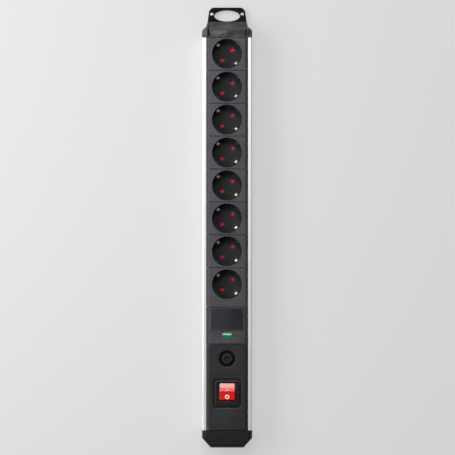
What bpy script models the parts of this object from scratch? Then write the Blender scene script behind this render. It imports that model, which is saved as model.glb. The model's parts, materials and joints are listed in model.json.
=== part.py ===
"""Rack power strip: eight earthed round sockets set at 45 degrees, a surge filter with its lamp, an overload
breaker and a red rocker switch, in an aluminium channel between two moulded end caps.

Metres. X runs across the strip, Y along it towards the cap with the hanging eye, Z out of the sockets.
The back of the channel lies on Z = 0 and the origin is the middle of the whole footprint.
"""
import math

import bmesh
import bpy
from mathutils import Matrix, Vector

# Fits
CLEARANCE = 0.0003
OVERRUN = 0.0010          # how far a cutter passes the face that it opens
WELD = 0.000005           # points closer than this are one

# Lengths along the strip, from the foot to the hanging eye
FOOT_CAP_LENGTH = 0.0232
CONTROL_LENGTH = 0.1155
SURGE_LENGTH = 0.0493
TAIL_LENGTH = 0.0085      # blank end of the last socket insert
SOCKET_COUNT = 8
SOCKET_PITCH = 0.0440
HEAD_REACH = 0.0431       # head cap and hanging bracket together

# Channel section
STRIP_WIDTH = 0.0670
CHANNEL_HEIGHT = 0.0410
CHANNEL_WALL = 0.0020
RAIL_WIDTH = 0.0055
RAIL_THICKNESS = 0.0020
RAIL_ROUND = 0.0018
LEDGE_REACH = 0.0022
LEDGE_THICKNESS = 0.0016
PORT_OFFSET = 0.0215      # screw port from the middle of the channel
PORT_WIDTH = 0.0070
PORT_HEIGHT = 0.0075
PORT_BORE_RADIUS = 0.0021

# Face panels and socket inserts
FLANGE_THICKNESS = 0.0024
FACE_RISE = 0.0030        # face above the rails
FACE_SLOPE = 0.0028       # sideways run of the sloping edge of the face
SLOPE_START = 0.0002      # upright edge between the rails' top and the slope

# Sockets
PIN_SPACING = 0.0190
PIN_ANGLE = math.radians(45)
PIN_HOLE_RADIUS = 0.0030
WELL_RADIUS = 0.0200
WELL_DEPTH = 0.0175
WELL_FLOOR = 0.0025
WELL_MOUTH = 0.0008       # chamfer round the mouth
CUP_WALL = 0.0016
KEY_WIDTH = 0.0054        # guide keys in line with the pins
KEY_REACH = 0.0019
KEY_DROP = 0.0040

# Shutters
SHUTTER_THICKNESS = 0.0027
SHUTTER_PAD = 0.0043
STUD_RADIUS = 0.0020
STUD_HEAD_RADIUS = 0.0031
STUD_HEAD_THICKNESS = 0.0010

# Conductors
EARTH_THICKNESS = 0.0010
EARTH_WIDTH = 0.0080
EARTH_TAIL = 0.0070       # bare tail that the earth lead lies on
CLIP_THICKNESS = 0.0008
CLIP_WIDTH = 0.0060
CLIP_INSET = 0.0012       # foot of a clip from the wall of the well
CLIP_BOW = 0.0020         # how far a clip bows in towards the plug
CLIP_BOW_DROP = 0.0085
CLIP_TIP_DROP = 0.0035
CLIP_ROOM = 0.0006
CARRIER_THICKNESS = 0.0014
BAR_THICKNESS = 0.0008
BAR_WIDTH = 0.0050
LEAF_THICKNESS = 0.0007
LEAF_SPREAD = 0.0028      # middle of a contact leaf from the pin's axis
LEAF_PINCH = 0.0006
LEAF_LENGTH = 0.0070
LEAF_ROOM = 0.0008        # leaf tip below the shutter
LEAD_RADIUS = 0.0014
LEAD_BEND = 0.0025
LEAD_START = 0.0030       # level start of a lead at a blade
LEAD_RAMP = 0.0060        # run in which it goes down to the floor

# Surge filter
PLATE_WIDTH = 0.0450
PLATE_LENGTH = 0.0304
PLATE_THICKNESS = 0.0008
PLATE_CORNER = 0.0010
PLATE_SETBACK = 0.0005
LAMP_SETBACK = 0.0375
LAMP_WIDTH = 0.0130
LAMP_LENGTH = 0.0070
LAMP_RISE = 0.0012
LAMP_FLANGE = 0.0010
LED_RADIUS = 0.0025
BOARD_WIDTH = 0.0440
BOARD_LENGTH = 0.0430
BOARD_THICKNESS = 0.0016
POST_RADIUS = 0.0025
POST_INSET = 0.0045
VARISTOR_RADIUS = 0.0070
VARISTOR_THICKNESS = 0.0046
VARISTOR_PITCH = 0.0085
VARISTOR_COUNT = 3
VARISTOR_ROOM = 0.0006    # varistors above the leads on the floor

# Breaker
BREAKER_SETBACK = 0.0195
BREAKER_RECESS_RADIUS = 0.0110
BREAKER_RECESS_DEPTH = 0.0036
COLLAR_RADIUS = 0.0065
COLLAR_HEIGHT = 0.0034
NECK_RADIUS = 0.0049
BUTTON_RADIUS = 0.0037
BUTTON_RISE = 0.0004      # button above the neck when it is set
BUTTON_DEPTH = 0.0090
BREAKER_WIDTH = 0.0200
BREAKER_LENGTH = 0.0320
BREAKER_HEIGHT = 0.0200
BREAKER_BLADE_SPREAD = 0.0090

# Switch
SWITCH_SETBACK = 0.0659
RECESS_WIDTH = 0.0380
RECESS_LENGTH = 0.0390
RECESS_CORNER = 0.0050
RECESS_DEPTH = 0.0022
BEZEL_WIDTH = 0.0330
BEZEL_LENGTH = 0.0335
BEZEL_CORNER = 0.0040
BEZEL_THICKNESS = 0.0027
ROCKER_SHIFT = 0.0020     # rocker from the middle of the bezel, towards the head
ROCKER_WIDTH = 0.0206
ROCKER_RADIUS = 0.0122    # round ends, about the pivot
ROCKER_CROWN = 0.0070     # ridge above the pivot
ROCKER_END_RISE = math.radians(24)
ROCKER_END_DROP = math.radians(20)
ROCKER_TILT = math.radians(10)
PIVOT_RADIUS = 0.0016
PIVOT_REACH = 0.0010
PIVOT_DROP = 0.0048       # pivot below the top of the bezel
SWITCH_WALL = 0.0018
SWITCH_HEIGHT = 0.0240
SWITCH_BLADE_SPREAD = 0.0070
BLADE_WIDTH = 0.0048
BLADE_THICKNESS = 0.0008
BLADE_LENGTH = 0.0100
BLADE_SEAT = 0.0040

# Head cap
HOOD_LENGTH = 0.0085      # level part of the hood
HOOD_RAMP = 0.0150
HOOD_TOE = 0.0035         # foot of the ramp above the bracket
TOE_HALF = 0.0264
SHOULDER_LENGTH = 0.0080
SHOULDER_RUN = 0.0090
SHOULDER_HALF = 0.0278
CHEEK_GROOVE_OFFSET = 0.0254
CHEEK_GROOVE_WIDTH = 0.0023
CHEEK_GROOVE_LENGTH = 0.0143
CHEEK_GROOVE_DEPTH = 0.0040
SCALLOP_HALF = 0.0120
SCALLOP_HEIGHT = 0.0060
SCALLOP_DEPTH = 0.0022
RIB_OFFSET = 0.0195       # side ribs on the ramp, beside the middle one
RIB_WIDTH = 0.0030
RIB_RISE = 0.0014
HEAD_WALL = 0.0040
HEAD_CORE_LENGTH = 0.0060

# Hanging bracket
BRACKET_THICKNESS = 0.0070
BRACKET_TIP_HALF = 0.0247
BRACKET_CORNER = 0.0075
TONGUE_HALF = 0.0165
HOOK_THICKNESS = 0.0040
HOOK_HEIGHT = 0.0180
EYE_WIDTH = 0.0347
EYE_LENGTH = 0.0150
EYE_SETBACK = 0.0319      # middle of the eye from the channel's end
FIXING_OFFSET = 0.0204
FIXING_SETBACK = 0.0340
FIXING_HEAD_RADIUS = 0.0026
FIXING_CROWN_RADIUS = 0.0015
FIXING_HEAD_HEIGHT = 0.0018
FIXING_SHANK_RADIUS = 0.0018

# Foot cap
FOOT_SIDE = 0.0105        # straight side before the corner is cut off
FOOT_END_HALF = 0.0220
FOOT_BEVEL = 0.0055
FOOT_WALL = 0.0030
FOOT_POCKET_LENGTH = 0.0070
INLET_HEIGHT = 0.0160
GROMMET_RADIUS = 0.0065
GROMMET_BORE = 0.0047
GROMMET_LIP = 0.0018
GROMMET_LIP_THICKNESS = 0.0014
CAP_SCREW_RADIUS = 0.0018
CAP_SCREW_HEAD_RADIUS = 0.0033
CAP_SCREW_HEAD_HEIGHT = 0.0024
CAP_SCREW_GRIP = 0.0100   # screw in the channel's port
FOOT_SCREW_SEAT = 0.0060

# Terminal block
BLOCK_WIDTH = 0.0260
BLOCK_LENGTH = 0.0180
BLOCK_HEIGHT = 0.0120
BLOCK_SETBACK = 0.0090    # block from the foot end of the channel
BLOCK_SCREW_RADIUS = 0.0022
BLOCK_SCREW_DEPTH = 0.0050
LEAD_GRIP = 0.0060

# Facets
FINE = 40
ROUND = 20
SMALL = 12
CORNER_STEPS = 4
RAMP_STEPS = 8

# Worked-out places along the strip
channel_length = SOCKET_COUNT * SOCKET_PITCH + TAIL_LENGTH + SURGE_LENGTH + CONTROL_LENGTH
overall_length = FOOT_CAP_LENGTH + channel_length + HEAD_REACH
foot_y = FOOT_CAP_LENGTH - overall_length / 2
head_y = foot_y + channel_length
control_y = foot_y + CONTROL_LENGTH
surge_y = control_y + SURGE_LENGTH
sockets_y = surge_y + TAIL_LENGTH
socket_places = [head_y - (index + 0.5) * SOCKET_PITCH for index in range(SOCKET_COUNT)]
breaker_y = control_y - BREAKER_SETBACK
switch_y = control_y - SWITCH_SETBACK
rocker_y = switch_y + ROCKER_SHIFT
lamp_y = surge_y - LAMP_SETBACK
board_y = (surge_y + control_y) / 2
eye_y = head_y + EYE_SETBACK
fixing_y = head_y + FIXING_SETBACK
toe_y = head_y + HOOD_LENGTH + HOOD_RAMP
head_wall_y = head_y + HEAD_WALL
head_tip_y = head_y + HEAD_REACH
foot_tip_y = foot_y - FOOT_CAP_LENGTH
block_y = foot_y + BLOCK_SETBACK + BLOCK_LENGTH / 2

# Worked-out places across the strip
half_width = STRIP_WIDTH / 2
inner_half = half_width - CHANNEL_WALL
rail_half = half_width - RAIL_WIDTH
ledge_half = inner_half - LEDGE_REACH
flange_half = inner_half - CLEARANCE
face_base_half = rail_half - CLEARANCE
face_half = face_base_half - FACE_SLOPE
pin_offset = PIN_SPACING / 2 * math.sin(PIN_ANGLE)
carrier_half = pin_offset + max(BAR_WIDTH / 2, LEAF_SPREAD + LEAF_THICKNESS / 2) + CLEARANCE
clip_foot_radius = WELL_RADIUS - CLIP_INSET - CLIP_THICKNESS / 2

# Worked-out heights
face_z = CHANNEL_HEIGHT + FACE_RISE
rail_under_z = CHANNEL_HEIGHT - RAIL_THICKNESS
flange_top_z = rail_under_z - CLEARANCE
panel_under_z = flange_top_z - FLANGE_THICKNESS
ledge_top_z = panel_under_z - CLEARANCE
ledge_under_z = ledge_top_z - LEDGE_THICKNESS
port_top_z = CHANNEL_WALL + PORT_HEIGHT
port_z = CHANNEL_WALL + PORT_HEIGHT / 2
well_floor_z = face_z - WELL_DEPTH
well_under_z = well_floor_z - WELL_FLOOR
shutter_top_z = well_under_z - CLEARANCE
shutter_under_z = shutter_top_z - SHUTTER_THICKNESS
stud_head_z = shutter_under_z - CLEARANCE
earth_under_z = CHANNEL_WALL + CLEARANCE
earth_top_z = earth_under_z + EARTH_THICKNESS
carrier_under_z = earth_top_z + CLEARANCE
carrier_top_z = carrier_under_z + CARRIER_THICKNESS
bar_under_z = carrier_top_z + CLEARANCE
leaf_top_z = shutter_under_z - LEAF_ROOM
lead_z = earth_top_z + CLEARANCE + LEAD_RADIUS
varistor_z = lead_z + LEAD_RADIUS + VARISTOR_ROOM + VARISTOR_RADIUS
board_under_z = varistor_z + VARISTOR_RADIUS + CLEARANCE
board_top_z = board_under_z + BOARD_THICKNESS
breaker_floor_z = face_z - BREAKER_RECESS_DEPTH
collar_under_z = breaker_floor_z + CLEARANCE
collar_top_z = collar_under_z + COLLAR_HEIGHT
breaker_top_z = panel_under_z - CLEARANCE
breaker_under_z = breaker_top_z - BREAKER_HEIGHT
recess_z = face_z - RECESS_DEPTH
bezel_under_z = recess_z + CLEARANCE
bezel_top_z = bezel_under_z + BEZEL_THICKNESS
pivot_z = bezel_top_z - PIVOT_DROP
rocker_floor_z = pivot_z - ROCKER_RADIUS * math.sin(ROCKER_END_DROP + ROCKER_TILT) - 2 * CLEARANCE
switch_under_z = bezel_top_z - SWITCH_HEIGHT - BEZEL_THICKNESS
toe_z = BRACKET_THICKNESS + HOOD_TOE
rocker_room_half = ROCKER_RADIUS + CLEARANCE
switch_half_width = ROCKER_WIDTH / 2 + CLEARANCE + SWITCH_WALL
switch_half_length = rocker_room_half + SWITCH_WALL

TURN = {
    "X": Matrix.Rotation(math.pi / 2, 4, "Z") @ Matrix.Rotation(math.pi / 2, 4, "X"),
    "Y": Matrix.Rotation(math.pi / 2, 4, "X"),
    "Z": Matrix.Identity(4),
}


def clear_scene():
    for item in list(bpy.data.objects):
        bpy.data.objects.remove(item, do_unlink=True)


def new_collection(name):
    collection = bpy.data.collections.new(name)
    bpy.context.scene.collection.children.link(collection)
    return collection


clear_scene()
PARTS = new_collection("rack_power_strip")
CUTTERS = new_collection("cutters")


def material(name, colour, roughness, metallic=0.0):
    """A Principled finish of one colour."""
    finish = bpy.data.materials.new(name)
    finish.use_nodes = True
    shader = finish.node_tree.nodes["Principled BSDF"]
    shader.inputs["Base Color"].default_value = (*colour, 1.0)
    shader.inputs["Roughness"].default_value = roughness
    shader.inputs["Metallic"].default_value = metallic
    finish.diffuse_color = (*colour, 1.0)
    return finish


ALUMINIUM = material("anodised aluminium", (0.80, 0.80, 0.81), 0.35, 1.0)
BLACK_PLASTIC = material("black moulded plastic", (0.035, 0.036, 0.040), 0.45)
BEZEL_PLASTIC = material("black switch plastic", (0.020, 0.021, 0.024), 0.35)
SHUTTER_RED = material("red shutter plastic", (0.50, 0.02, 0.04), 0.40)
ROCKER_RED = material("clear red plastic", (0.75, 0.03, 0.02), 0.20)
LAMP_GREEN = material("clear green plastic", (0.02, 0.55, 0.20), 0.20)
BRASS = material("brass", (0.78, 0.60, 0.30), 0.35, 1.0)
TINNED = material("tinned spring brass", (0.78, 0.74, 0.66), 0.30, 1.0)
STEEL = material("zinc plated steel", (0.75, 0.75, 0.74), 0.30, 1.0)
INSULATOR = material("grey insulating plastic", (0.35, 0.35, 0.34), 0.55)
WHITE_PLASTIC = material("white plastic", (0.80, 0.80, 0.77), 0.50)
BOARD_GREEN = material("circuit board", (0.03, 0.22, 0.10), 0.45)
VARISTOR_BLUE = material("blue epoxy", (0.04, 0.12, 0.45), 0.40)
RUBBER = material("black rubber", (0.02, 0.02, 0.02), 0.80)
BROWN_LEAD = material("brown insulation", (0.20, 0.08, 0.03), 0.45)
BLUE_LEAD = material("blue insulation", (0.04, 0.12, 0.50), 0.45)
EARTH_LEAD = material("green and yellow insulation", (0.35, 0.55, 0.05), 0.45)


def tool(name, mesh):
    """A construction body: it stays hidden unless it becomes a part."""
    body = bpy.data.objects.new(name, mesh)
    CUTTERS.objects.link(body)
    body.hide_render = True
    body.display_type = "WIRE"
    return body


def part(name, body, finish, place=(0.0, 0.0, 0.0)):
    """Turn a construction body into a named piece of the object."""
    body.name = name
    CUTTERS.objects.unlink(body)
    PARTS.objects.link(body)
    body.hide_render = False
    body.display_type = "TEXTURED"
    body.location = place
    body.data.materials.clear()
    body.data.materials.append(finish)
    body.data.shade_smooth()
    body.data.set_sharp_from_angle(angle=math.radians(35))
    return body


def mesh_from(name, build):
    """A mesh made by one bmesh building step, with its faces turned outwards."""
    work = bmesh.new()
    build(work)
    bmesh.ops.recalc_face_normals(work, faces=work.faces)
    mesh = bpy.data.meshes.new(name)
    work.to_mesh(mesh)
    work.free()
    return mesh


def realised(body):
    """The evaluated mesh of a body, welded, as a mesh of its own."""
    bpy.context.view_layer.update()
    evaluated = body.evaluated_get(bpy.context.evaluated_depsgraph_get())
    mesh = bpy.data.meshes.new_from_object(evaluated)
    work = bmesh.new()
    work.from_mesh(mesh)
    bmesh.ops.remove_doubles(work, verts=work.verts, dist=WELD)
    bmesh.ops.recalc_face_normals(work, faces=work.faces)
    work.to_mesh(mesh)
    work.free()
    return mesh


def box(name, low, high):
    """A box between two corners."""
    size = [top - bottom for bottom, top in zip(low, high)]
    middle = [(top + bottom) / 2 for bottom, top in zip(low, high)]

    def build(work):
        bmesh.ops.create_cube(work, size=1.0)
        bmesh.ops.scale(work, vec=size, verts=work.verts)
        bmesh.ops.translate(work, vec=middle, verts=work.verts)

    return tool(name, mesh_from(name, build))


def cylinder(name, radius, axis, start, end, place=(0.0, 0.0, 0.0), segments=ROUND):
    """A round bar along an axis from start to end, through a place across it."""
    along = {"X": Vector((1, 0, 0)), "Y": Vector((0, 1, 0)), "Z": Vector((0, 0, 1))}[axis]
    middle = Vector(place) + along * ((start + end) / 2)

    def build(work):
        bmesh.ops.create_cone(work, cap_ends=True, segments=segments, radius1=radius, radius2=radius,
                              depth=end - start)
        bmesh.ops.transform(work, matrix=Matrix.Translation(middle) @ TURN[axis], verts=work.verts)

    return tool(name, mesh_from(name, build))


def prism(name, outlines, axis, start, end):
    """A flat outline and any holes in it, carried along X from (y, z), Y from (x, z) or Z from (x, y)."""
    curve = bpy.data.curves.new(name, "CURVE")
    curve.dimensions = "2D"
    curve.fill_mode = "BOTH"
    curve.extrude = (end - start) / 2
    for points in outlines:
        spline = curve.splines.new("POLY")
        spline.points.add(len(points) - 1)
        for corner, (across, up) in zip(spline.points, points):
            corner.co = (across, up, 0.0, 1.0)
        spline.use_cyclic_u = True
    guide = tool(name, curve)
    mesh = realised(guide)
    bpy.data.objects.remove(guide)
    along = {"X": Vector((1, 0, 0)), "Y": Vector((0, 1, 0)), "Z": Vector((0, 0, 1))}[axis]
    mesh.transform(Matrix.Translation(along * ((start + end) / 2)) @ TURN[axis])
    return tool(name, mesh)


def turned(name, profile, place=(0.0, 0.0), segments=FINE):
    """A profile of (radius, z) points, from the top down, turned about an upright axis."""
    mesh = bpy.data.meshes.new(name)
    points = [(radius, 0.0, z) for radius, z in profile]
    mesh.from_pydata(points, [(index, index + 1) for index in range(len(points) - 1)], [])
    guide = tool(name, mesh)
    screw = guide.modifiers.new("turn", "SCREW")
    screw.steps = segments
    screw.render_steps = segments
    screw.use_merge_vertices = True
    screw.merge_threshold = WELD
    solid = realised(guide)
    bpy.data.objects.remove(guide)
    solid.transform(Matrix.Translation((place[0], place[1], 0.0)))
    return tool(name, solid)


def tube(name, points, radius):
    """A round lead along a path of points, with its corners eased."""
    path = eased_path(points, LEAD_BEND)
    curve = bpy.data.curves.new(name, "CURVE")
    curve.dimensions = "3D"
    curve.bevel_depth = radius
    curve.bevel_resolution = 2
    curve.use_fill_caps = True
    spline = curve.splines.new("POLY")
    spline.points.add(len(path) - 1)
    for corner, point in zip(spline.points, path):
        corner.co = (*point, 1.0)
    guide = tool(name, curve)
    mesh = realised(guide)
    bpy.data.objects.remove(guide)
    return tool(name, mesh)


def eased_path(points, reach):
    """The same path with each inner corner replaced by a short parabola that starts and ends reach away."""
    path = [points[0]]
    for before, corner, after in zip(points, points[1:], points[2:]):
        start = corner + (before - corner).normalized() * reach
        end = corner + (after - corner).normalized() * reach
        for step in range(CORNER_STEPS + 1):
            share = step / CORNER_STEPS
            path.append(start.lerp(corner, share).lerp(corner.lerp(end, share), share))
    path.append(points[-1])
    return path


def boolean(target, operation, bodies):
    for body in bodies:
        change = target.modifiers.new(body.name, "BOOLEAN")
        change.operation = operation
        change.object = body
        change.solver = "EXACT"
    return target


def cut(target, *bodies):
    return boolean(target, "DIFFERENCE", bodies)


def join(target, *bodies):
    return boolean(target, "UNION", bodies)


def keep(target, *bodies):
    return boolean(target, "INTERSECT", bodies)


def rotated(body, angle, place=(0.0, 0.0)):
    """Turn a body about the upright axis through the origin, then move it to a place."""
    body.data.transform(Matrix.Translation((*place, 0.0)) @ Matrix.Rotation(angle, 4, "Z"))
    return body


def arc(centre, radius, first, last, steps):
    """Points round a circle from one angle to another."""
    angles = [first + (last - first) * step / steps for step in range(steps + 1)]
    return [(centre[0] + radius * math.cos(a), centre[1] + radius * math.sin(a)) for a in angles]


def circle(centre, radius, steps):
    return arc(centre, radius, 0.0, 2 * math.pi, steps)[:-1]


def mirrored(half):
    """A closed outline from its right half, listed from the bottom to the top."""
    return half + [(-across, up) for across, up in reversed(half)]


def rounded_rectangle(width, length, corner, centre=(0.0, 0.0)):
    half_x = width / 2 - corner
    half_y = length / 2 - corner
    points = []
    for quarter, (sign_x, sign_y) in enumerate([(1, 1), (-1, 1), (-1, -1), (1, -1)]):
        middle = (centre[0] + sign_x * half_x, centre[1] + sign_y * half_y)
        points += arc(middle, corner, quarter * math.pi / 2, (quarter + 1) * math.pi / 2, CORNER_STEPS)
    return points


def ribbon(points, thickness):
    """The outline of a strip of even thickness along a bent line."""
    line = [Vector(point) for point in points]
    steps = [(after - before).normalized() for before, after in zip(line, line[1:])]
    sides = []
    for index, point in enumerate(line):
        before = steps[max(index - 1, 0)]
        after = steps[min(index, len(steps) - 1)]
        normal_before = Vector((-before.y, before.x))
        normal_after = Vector((-after.y, after.x))
        normal = (normal_before + normal_after).normalized()
        sides.append(normal * (thickness / 2 / normal.dot(normal_after)))
    left = [tuple(point + side) for point, side in zip(line, sides)]
    right = [tuple(point - side) for point, side in zip(line, sides)]
    return left + right[::-1]


def channel():
    """The extruded channel: rails that hold the inserts, ledges under them and two screw ports."""
    corner = (half_width - RAIL_ROUND, CHANNEL_HEIGHT - RAIL_ROUND)
    half = [
        (half_width, 0.0),
        *arc(corner, RAIL_ROUND, 0.0, math.pi / 2, CORNER_STEPS),
        (rail_half, CHANNEL_HEIGHT),
        (rail_half, rail_under_z),
        (inner_half, rail_under_z),
        (inner_half, ledge_top_z),
        (ledge_half, ledge_top_z),
        (ledge_half, ledge_under_z),
        (inner_half, ledge_under_z),
        (inner_half, CHANNEL_WALL),
        (PORT_OFFSET + PORT_WIDTH / 2, CHANNEL_WALL),
        (PORT_OFFSET + PORT_WIDTH / 2, port_top_z),
        (PORT_OFFSET - PORT_WIDTH / 2, port_top_z),
        (PORT_OFFSET - PORT_WIDTH / 2, CHANNEL_WALL),
    ]
    bores = [circle((hand * PORT_OFFSET, port_z), PORT_BORE_RADIUS, SMALL) for hand in (-1, 1)]
    part("aluminium_channel", prism("channel", [mirrored(half), *bores], "Y", foot_y, head_y), ALUMINIUM)


def face_section():
    """Section of every panel: a flange under the rails and a face with sloping edges."""
    return mirrored([
        (flange_half, panel_under_z),
        (flange_half, flange_top_z),
        (face_base_half, flange_top_z),
        (face_base_half, CHANNEL_HEIGHT + SLOPE_START),
        (face_half, face_z),
    ])


def panel(name, start, end):
    return prism(name, [face_section()], "Y", start + CLEARANCE / 2, end - CLEARANCE / 2)


def socket_insert(tail):
    """One socket about its axis: face, cup, well, pin holes, guide keys, clip slots and shutter stud."""
    body = panel("insert", -SOCKET_PITCH / 2 - tail, SOCKET_PITCH / 2)
    cup_radius = WELL_RADIUS + CUP_WALL
    cup = cylinder("cup", cup_radius, "Z", well_under_z, panel_under_z + FLANGE_THICKNESS / 2, segments=FINE)
    stud = turned("stud", [
        (0.0, well_floor_z - WELL_FLOOR / 2),
        (STUD_RADIUS, well_floor_z - WELL_FLOOR / 2),
        (STUD_RADIUS, stud_head_z),
        (STUD_HEAD_RADIUS, stud_head_z),
        (STUD_HEAD_RADIUS, stud_head_z - STUD_HEAD_THICKNESS),
        (0.0, stud_head_z - STUD_HEAD_THICKNESS),
    ], segments=SMALL)
    well = turned("well", [
        (0.0, face_z + OVERRUN),
        (WELL_RADIUS + WELL_MOUTH + OVERRUN, face_z + OVERRUN),
        (WELL_RADIUS, face_z - WELL_MOUTH),
        (WELL_RADIUS, well_floor_z),
        (0.0, well_floor_z),
    ])
    join(body, cup, stud)
    cut(body, well)
    for side in (0.0, math.pi):
        hole = cylinder("pin_hole", PIN_HOLE_RADIUS, "Z", well_under_z - OVERRUN, well_floor_z + OVERRUN,
                        (PIN_SPACING / 2, 0.0, 0.0), SMALL)
        cut(body, rotated(hole, PIN_ANGLE + side))
        slot = box("clip_slot",
                   (clip_foot_radius - CLIP_BOW - CLIP_THICKNESS, -CLIP_WIDTH / 2 - CLIP_ROOM,
                    well_under_z - OVERRUN),
                   (clip_foot_radius + CLIP_THICKNESS / 2 + CLIP_ROOM + CLIP_INSET,
                    CLIP_WIDTH / 2 + CLIP_ROOM, face_z - CLIP_TIP_DROP + CLIP_ROOM))
        cut(body, rotated(slot, PIN_ANGLE + math.pi / 2 + side))
        key = box("guide_key", (WELL_RADIUS - KEY_REACH, -KEY_WIDTH / 2, well_floor_z - WELL_FLOOR / 4),
                  (WELL_RADIUS + CUP_WALL / 3, KEY_WIDTH / 2, face_z - KEY_DROP))
        join(body, rotated(key, PIN_ANGLE + side))
    return realised(body)


def socket_inserts():
    plain = socket_insert(0.0)
    tailed = socket_insert(TAIL_LENGTH)
    for index, place in enumerate(socket_places):
        last = index == SOCKET_COUNT - 1
        body = tool("insert", tailed if last else plain)
        part(f"socket_insert_{index + 1}", body, BLACK_PLASTIC, (0.0, place, 0.0))


def shutters():
    """A bar with two round pads that covers both pin holes and swings about the stud."""
    reach = PIN_SPACING / 2
    outline = arc((reach, 0.0), SHUTTER_PAD, -math.pi / 2, math.pi / 2, 2 * CORNER_STEPS)
    outline += arc((-reach, 0.0), SHUTTER_PAD, math.pi / 2, 3 * math.pi / 2, 2 * CORNER_STEPS)
    bore = circle((0.0, 0.0), STUD_RADIUS + CLEARANCE, SMALL)
    shape = rotated(prism("shutter", [outline, bore], "Z", 0.0, SHUTTER_THICKNESS), PIN_ANGLE).data
    for index, place in enumerate(socket_places):
        part(f"shutter_{index + 1}", tool("shutter", shape), SHUTTER_RED, (0.0, place, shutter_under_z))


def earth_busbar():
    """A flat bar on the channel's floor with two bowed clips standing up into every well."""
    middle_z = (earth_under_z + earth_top_z) / 2
    bar = box("earth_bar", (-EARTH_WIDTH / 2, sockets_y - EARTH_TAIL, earth_under_z),
              (EARTH_WIDTH / 2, socket_places[0] + EARTH_WIDTH / 2, earth_top_z))
    line = [
        (-EARTH_WIDTH / 4, middle_z),
        (clip_foot_radius, middle_z),
        (clip_foot_radius, well_floor_z),
        (clip_foot_radius - CLIP_BOW, face_z - CLIP_BOW_DROP),
        (clip_foot_radius, face_z - CLIP_TIP_DROP),
    ]
    for place in socket_places:
        for side in (0.0, math.pi):
            clip = prism("earth_clip", [ribbon(line, CLIP_THICKNESS)], "Y", -CLIP_WIDTH / 2, CLIP_WIDTH / 2)
            join(bar, rotated(clip, PIN_ANGLE + math.pi / 2 + side, (0.0, place)))
    part("earth_busbar", bar, TINNED)


def contact_carrier():
    """The insulating plate between the earth bar and the live bars, with a barrier rib along it."""
    rib_half = (pin_offset - LEAF_SPREAD - LEAF_THICKNESS) / 3
    section = mirrored([
        (carrier_half, carrier_under_z),
        (carrier_half, carrier_top_z),
        (rib_half, carrier_top_z),
        (rib_half, leaf_top_z - LEAF_LENGTH / 2),
    ])
    body = prism("carrier", [section], "Y", sockets_y, socket_places[0] + SOCKET_PITCH / 4)
    part("contact_carrier", body, INSULATOR)


def live_busbar(name, side):
    """A flat bar with a sprung fork under one pin hole of every socket."""
    middle_z = bar_under_z + BAR_THICKNESS / 2
    bar = box("live_bar", (side * pin_offset - BAR_WIDTH / 2, sockets_y, bar_under_z),
              (side * pin_offset + BAR_WIDTH / 2, socket_places[0] + pin_offset + LEAF_LENGTH / 2,
               bar_under_z + BAR_THICKNESS))
    pinch_z = leaf_top_z - LEAF_SPREAD
    leaf = [(LEAF_SPREAD, middle_z), (LEAF_SPREAD - LEAF_PINCH, pinch_z), (LEAF_SPREAD, leaf_top_z)]
    line = [(side * pin_offset - across, up) for across, up in reversed(leaf)]
    line += [(side * pin_offset + across, up) for across, up in leaf]
    for place in socket_places:
        middle = place + side * pin_offset
        join(bar, prism("fork", [ribbon(line, LEAF_THICKNESS)], "Y", middle - LEAF_LENGTH / 2,
                        middle + LEAF_LENGTH / 2))
    part(name, bar, BRASS)


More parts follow.
